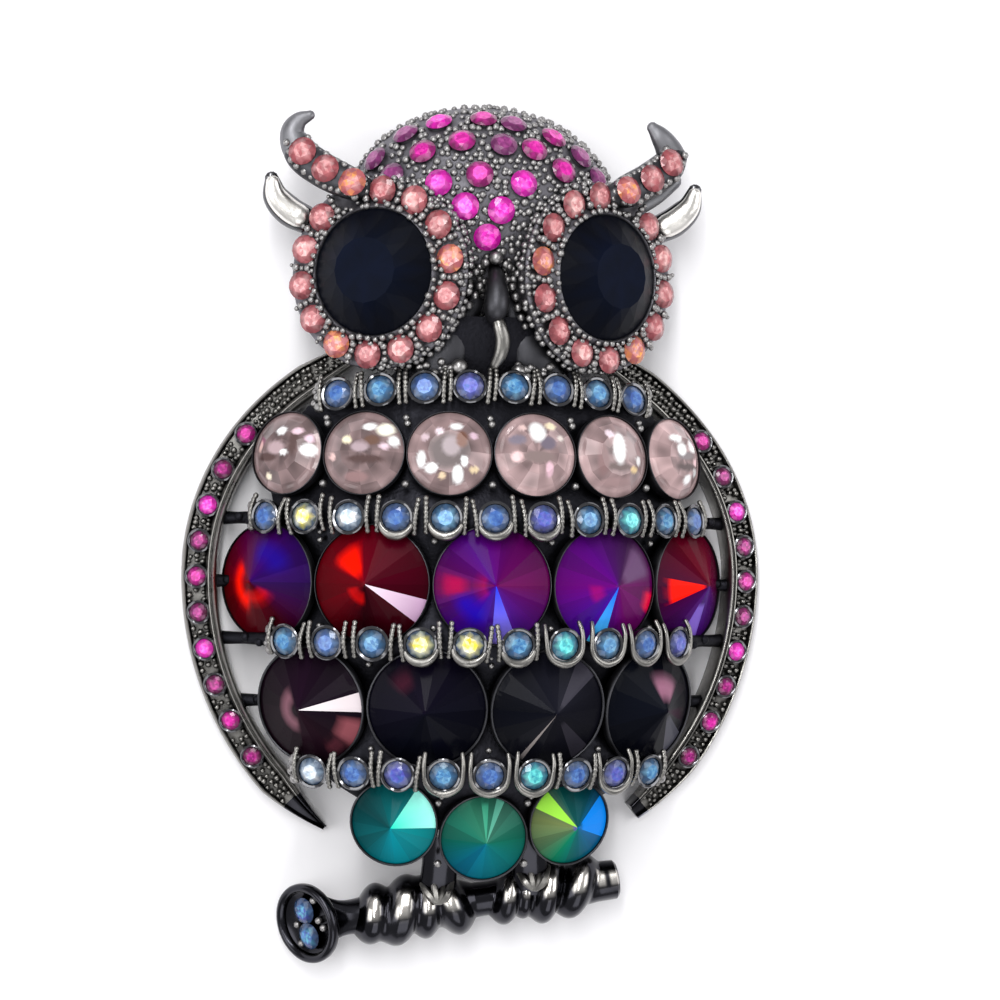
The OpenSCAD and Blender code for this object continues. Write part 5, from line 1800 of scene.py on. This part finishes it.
@dataclass
class Perch:
    """The branch with its toes and end disc, and the legs.

    Attributes:
        toes: Lobes on the branch: share of its length, half width in millimetres, share of branch_r, and
            how far its lower side lies to the left in millimetres.
        legs: Places of the legs, as shares of the branch's length from its middle.
        full: Share by which the foiled stones look larger than their seats.
        neck_r: Radius of the neck between the branch and its disc.
        painted_highlight_at: Angle in degrees round the branch, from the crown's side, where the painted
            highlight lies on its crests.
    """

    toes: tuple[tuple[float, float, float, float], ...] = (
        (0.075, 1.5, 0.86, 0.4), (0.185, 1.8, 1.0, 0.7), (0.28, 1.3, 0.90, 0.3), (0.37, 1.6, 0.93, -0.6),
        (0.585, 1.3, 0.84, 0.5), (0.65, 0.9, 0.70, 0.3), (0.735, 1.4, 0.96, 0.6), (0.85, 1.6, 0.92, 0.8),
    )
    legs: tuple[float, float] = (-0.15, 0.21)
    full: float = 1.15
    neck_r: float = 1.59
    painted_highlight_at: float = 72.0

    def branch_frame(self) -> np.ndarray:
        """Frame of the branch, whose X runs along it."""
        place = np.array([0, OWL.branch_y, OWL.branch_z]) + OWL.shift
        return frames_at(place, turn_about(2, OWL.branch_climb))

    def disc_frame(self) -> np.ndarray:
        """Frame of the end disc, with Z out of its dish."""
        turn = turn_about(2, OWL.disc_climb) @ turn_about(1, -OWL.disc_turn)
        return frames_at(OWL.disc_at + OWL.shift, turn)

    def branch(self) -> Surface:
        """Turns the branch about its line, with toes that wrap it aslant.

        At share t and angle q the radius is (b^5 + sum e_i^5)^(1/5) R. Here b is the bark's share, and toe i
        adds e_i = h_i sqrt(1 - u^2) for |u| < 1, with u = ((t - t_i) L - o_i cos q) / w_i.

        Returns:
            The branch.
        """
        t = np.linspace(0, 1, 261)[:, None]
        q = circle(48)
        bark = np.interp(t, [0.0, 0.05, 0.10, 0.40, 0.46, 0.52, 0.60, 0.70, 0.88, 0.93, 1.0],
                         [0.44, 0.50, 0.66, 0.66, 0.50, 0.48, 0.54, 0.62, 0.62, 0.58, 0.56])
        bark = bark * (1 + 0.03 * np.sin(3 * q + 9 * t))
        total = bark**5
        for share, half, top, aslant in self.toes:
            u = ((t - share) * OWL.branch_l - aslant * np.cos(q)) / half
            total = total + (top * (0.96 + 0.04 * np.sin(q)) * np.sqrt(np.clip(1 - u**2, 0, 1))) ** 5
        r = np.minimum(OWL.branch_r * total ** 0.2, OWL.branch_r)
        x = np.broadcast_to((t - OWL.branch_start) * OWL.branch_l, r.shape)
        ends = np.stack([x, r * np.cos(q), r * np.sin(q)], -1)
        cap = ends[-1:] * [1, 0.86, 0.86] + [0.22, 0, 0]
        made = skin(np.concatenate([ends - [0.22, 0, 0], cap - [0.22, 0, 0]]))
        # The tints paint a white highlight on the fronts of the crests
        made.tints = [self.painted_highlight(made.points[f]) for f in made.faces]
        return made.copied(self.branch_frame())

    def painted_highlight(self, p: np.ndarray) -> np.ndarray:
        """Paints a white highlight on the front of each lobe's crest and on the cut end.

        With u across a lobe as in branch() and the angle v from painted_highlight_at, the tint is the product
        of the lobe's height share, clip((0.42 - |u + 0.2|) / 0.25, 0, 1) and clip((cos v - 0.9) / 0.07, 0,
        1).

        Args:
            p: Points beside the branch's line, before it is placed.

        Returns:
            Array of linear colours.
        """
        t, q = p[..., 0] / OWL.branch_l + OWL.branch_start, np.arctan2(p[..., 2], p[..., 1])
        # Painted highlight: two thin bright rings near the cut end, round share 0.955 of the length
        crest = np.clip((0.018 - np.abs(np.abs(t - 0.955) - 0.024)) / 0.008, 0, 1)
        for share, half, top, aslant in self.toes:
            u = ((t - share) * OWL.branch_l - aslant * np.cos(q)) / half
            crest = np.maximum(crest, np.clip((0.42 - np.abs(u + 0.2)) / 0.25, 0, 1) * top)
        white = crest * np.clip((np.cos(q - math.radians(self.painted_highlight_at)) - 0.9) / 0.07, 0, 1)
        return np.stack([white, white, white, np.ones_like(white)], -1)

    def disc(self) -> Surface:
        """Flares from the neck to a round dish: each ring blends the neck's into the dish's back."""
        q = circle(56)
        start = np.full(56, -OWL.branch_start * OWL.branch_l + 0.6)
        neck = np.stack([start, self.neck_r * np.sin(q), self.neck_r * np.cos(q)], -1)
        neck = in_frames(self.branch_frame(), neck)
        back = in_frames(self.disc_frame(), polar(OWL.disc_r, q, -0.35) * [-0.96, 0.96, 1])
        rings = []
        for s in np.linspace(0, 1, 17):
            w = s**2.6
            middle = neck.mean(0) * (1 - s) + back.mean(0) * s
            rings.append(middle + (neck - neck.mean(0)) * (1 - w) * (1 - 0.15 * math.sin(math.pi * s)) +
                         (back - back.mean(0)) * w)
        for r, z in ((0.99, -0.2), (1.0, 0.05), (1.0, 0.28), (0.98, 0.46), (0.93, 0.58), (0.87, 0.59),
                     (0.82, 0.48),
                     (0.79, 0.25), (0.77, 0.0), (0.70, -0.12), (0.4, -0.16), (0.0, -0.16)):
            rings.append(in_frames(self.disc_frame(), polar(r * OWL.disc_r, q, z) * [-1, 1, 1]))
        made = skin(np.array(rings))
        # No highlight is painted on the disc: its tints are black
        made.tints = [np.tile([0.0, 0.0, 0.0, 1.0], (*f.shape, 1)) for f in made.faces]
        return made

    def perch_frames(self) -> np.ndarray:
        """Frames of the two stones in the end disc."""
        y = PERCH_CUT.diameter / 2 + 0.1
        return nested(self.disc_frame(), frames_at(np.array([[0, -y, 0.25], [0, y, 0.25]])))

    def disc_grains(self) -> Surface:
        """Grains in the dish beside its stones."""
        spots = np.array([(1.35, 0.15), (-1.35, -0.1), (1.75, -0.5), (-1.3, -1.75), (1.2, 1.9)])
        local = frames_at(np.concatenate([spots, np.full((len(spots), 1), 0.02)], 1), sizes=0.33)
        return grain(8).copied(nested(self.disc_frame(), local))

    def leg(self, share: float) -> Surface:
        """Blends a wide rounded section under the last row into a narrower one on the branch."""
        x, last = share * OWL.branch_l, len(OWL.rows) - 1
        top = np.array([x * 0.9, OWL.row_y(last) - 1.3, OWL.rows[last].height * OWL.dome_h - 2.4])
        foot = np.array([x, OWL.branch_line(x), OWL.branch_z + 1.1])
        q = circle(24)
        rings = []
        for s in np.linspace(0, 1, 9):
            half = np.array([1.7, 0.9]) * (1 - s) + np.array([1.9, 1.0]) * s
            half = half * (1 - 0.14 * math.sin(math.pi * s))
            ring = np.stack([half[0] * np.cos(q), 0 * q, half[1] * np.sin(q)], -1)
            rings.append(top * (1 - s) + foot * s + ring + OWL.shift)
        return skin(np.array(rings))

    def claws(self, share: float) -> Surface:
        """Four worn claws that fan out where a leg meets the branch."""
        x = share * OWL.branch_l
        y = OWL.branch_line(x)
        return joined([
            swept([(x + way * 1.35, y + 1.1 + reach, 5.4, 0.18), (x + way * 0.8, y + 1.3, 6.1, wide),
                   (x + way * 0.2, y + 0.65, 6.3, 0.2)], 13, 6, 0.6)
            for way, reach, wide in ((-1.0, 1.0, 0.34), (1.0, 1.35, 0.38), (-0.25, 1.5, 0.36),
                                     (0.45, 1.2, 0.3))])

    def build(self) -> None:
        """Makes the perch."""
        # The branch's tints carry its painted highlight
        add_piece("branch", joined([self.branch(), self.disc()]), HIGHLIT_NICKEL, 40)
        add_piece("disc_grains", self.disc_grains(), BEADED, 80)
        add_piece("legs", joined([self.leg(share) for share in self.legs]), BLACK, 60)
        add_piece("claws", joined([self.claws(share) for share in self.legs]), WORN, 25)
        frames = grown(self.perch_frames(), self.full)
        add_field("stones_perch", PERCH_CUT, frames, [DUSK], 80, "perch_stones")


# ---- studio ---------------------------------------------------------------------------------------


@dataclass(frozen=True)
class Softbox:
    """A light that faces the owl: place, width and height in millimetres, and power in watts."""

    place: tuple[float, float, float]
    width: float
    height: float
    power: float


def hung(data: bpy.types.ID, across: np.ndarray, back: np.ndarray, place: np.ndarray) -> bpy.types.Object:
    """Adds a camera or a light that looks against a direction.

    Args:
        data: The camera's or light's data, which also names the object.
        across: Unit vector of its X axis.
        back: Unit vector away from what it looks at, square to across.
        place: Its place in metres.

    Returns:
        The object.
    """
    made = bpy.data.objects.new(data.name, data)
    bpy.context.scene.collection.objects.link(made)
    matrix = np.eye(4)
    matrix[:3, 0], matrix[:3, 1], matrix[:3, 2], matrix[:3, 3] = across, np.cross(back, across), back, place
    made.matrix_world = matrix.T.tolist()
    return made


@dataclass
class Studio:
    """Pale floor, soft lights and the camera of the photo.

    Attributes:
        distance: Distance of the camera from the owl's middle in millimetres.
        azimuth: Angle in degrees by which the camera stands to the left.
        roll: Turn of the camera in radians.
        lens: Focal length in millimetres for a sensor 36 mm wide.
        framing: Shift of the picture, as shares of its width.
        room: Linear colour of the room.
        room_light: Strength of the room's light.
        floor_half: Half width of the floor in millimetres.
        boxes: The lights.
    """

    distance: float = 235.0
    azimuth: float = 8.0
    roll: float = 0.012
    lens: float = 97.3
    framing: tuple[float, float] = (0.0275, 0.033)
    room: tuple[float, float, float, float] = (0.92, 0.92, 0.95, 1.0)
    room_light: float = 0.38
    floor_half: float = 900.0
    boxes: tuple[Softbox, ...] = (
        Softbox((-50.0, 150.0, 220.0), 190.0, 190.0, 0.17),
        Softbox((-60.0, 110.0, 240.0), 26.0, 330.0, 0.40),
        Softbox((190.0, 30.0, 150.0), 150.0, 150.0, 0.18),
        Softbox((-190.0, -20.0, 140.0), 150.0, 150.0, 0.18),
        Softbox((20.0, -190.0, 150.0), 160.0, 160.0, 0.14),
    )

    def camera(self) -> None:
        """Puts the camera at the photo's angle, and shifts its picture to the photo's framing."""
        a = math.radians(self.azimuth)
        back = np.array([-math.sin(a), 0.0, math.cos(a)])
        right = np.array([math.cos(a), 0.0, math.sin(a)])
        across = right * math.cos(self.roll) + np.array([0, 1, 0]) * math.sin(self.roll)
        data = bpy.data.cameras.new("camera")
        data.lens, data.sensor_width = self.lens, 36.0
        data.shift_x, data.shift_y = self.framing
        data.clip_start, data.clip_end = 0.01, 10.0
        bpy.context.scene.camera = hung(data, across, back, back * self.distance * MM)

    def lights(self) -> None:
        """Hangs the softboxes and fills the room with even light."""
        for i, box in enumerate(self.boxes):
            data = bpy.data.lights.new(f"softbox_{i}", "AREA")
            data.shape, data.energy = "RECTANGLE", box.power
            data.size, data.size_y = box.width * MM, box.height * MM
            back = unit(np.array(box.place))
            hung(data, unit(np.cross([0.0, 1.0, 0.001], back)), back, np.array(box.place) * MM)
        world = bpy.data.worlds.new("room")
        world.use_nodes = True
        shader = world.node_tree.nodes["Background"]
        shader.inputs["Color"].default_value = self.room
        shader.inputs["Strength"].default_value = self.room_light
        bpy.context.scene.world = world

    def floor(self) -> None:
        """Lays the pale floor just below the brooch."""
        half, z = self.floor_half, -0.05
        corners = np.array([(-half, -half, z), (half, -half, z), (half, half, z), (-half, half, z)])
        mesh = bpy.data.meshes.new("floor")
        mesh.from_pydata(corners * MM, [], [[0, 1, 2, 3]])
        mesh.materials.append(PAPER.material())
        floor = bpy.data.objects.new("floor", mesh)
        bpy.context.scene.collection.objects.link(floor)

    def build(self) -> None:
        """Sets up the studio."""
        self.camera()
        self.lights()
        self.floor()
        bpy.context.scene.view_settings.view_transform = "Standard"


@dataclass
class Pin:
    """The hidden pin: the frame's own bar_pin, in steel."""

    node: str = "bar_pin"

    def build(self) -> None:
        """Gives the pin its steel."""
        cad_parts[self.node].material_slots[0].material = STEEL.material()


@dataclass
class Brooch:
    """The whole owl."""

    parts: list = field(default_factory=lambda: [Rims(), Dome(), RowStones(), Head(), Perch(), Pin(),
                                                 Studio()])

    def build(self) -> None:
        """Builds every sub-assembly."""
        for part in self.parts:
            part.build()
        bpy.context.view_layer.update()


def main() -> None:
    """Builds the brooch and its studio."""
    logging.basicConfig(level=logging.INFO, format="%(name)s: %(message)s")
    Brooch().build()


if __name__ == "__main__":
    main()
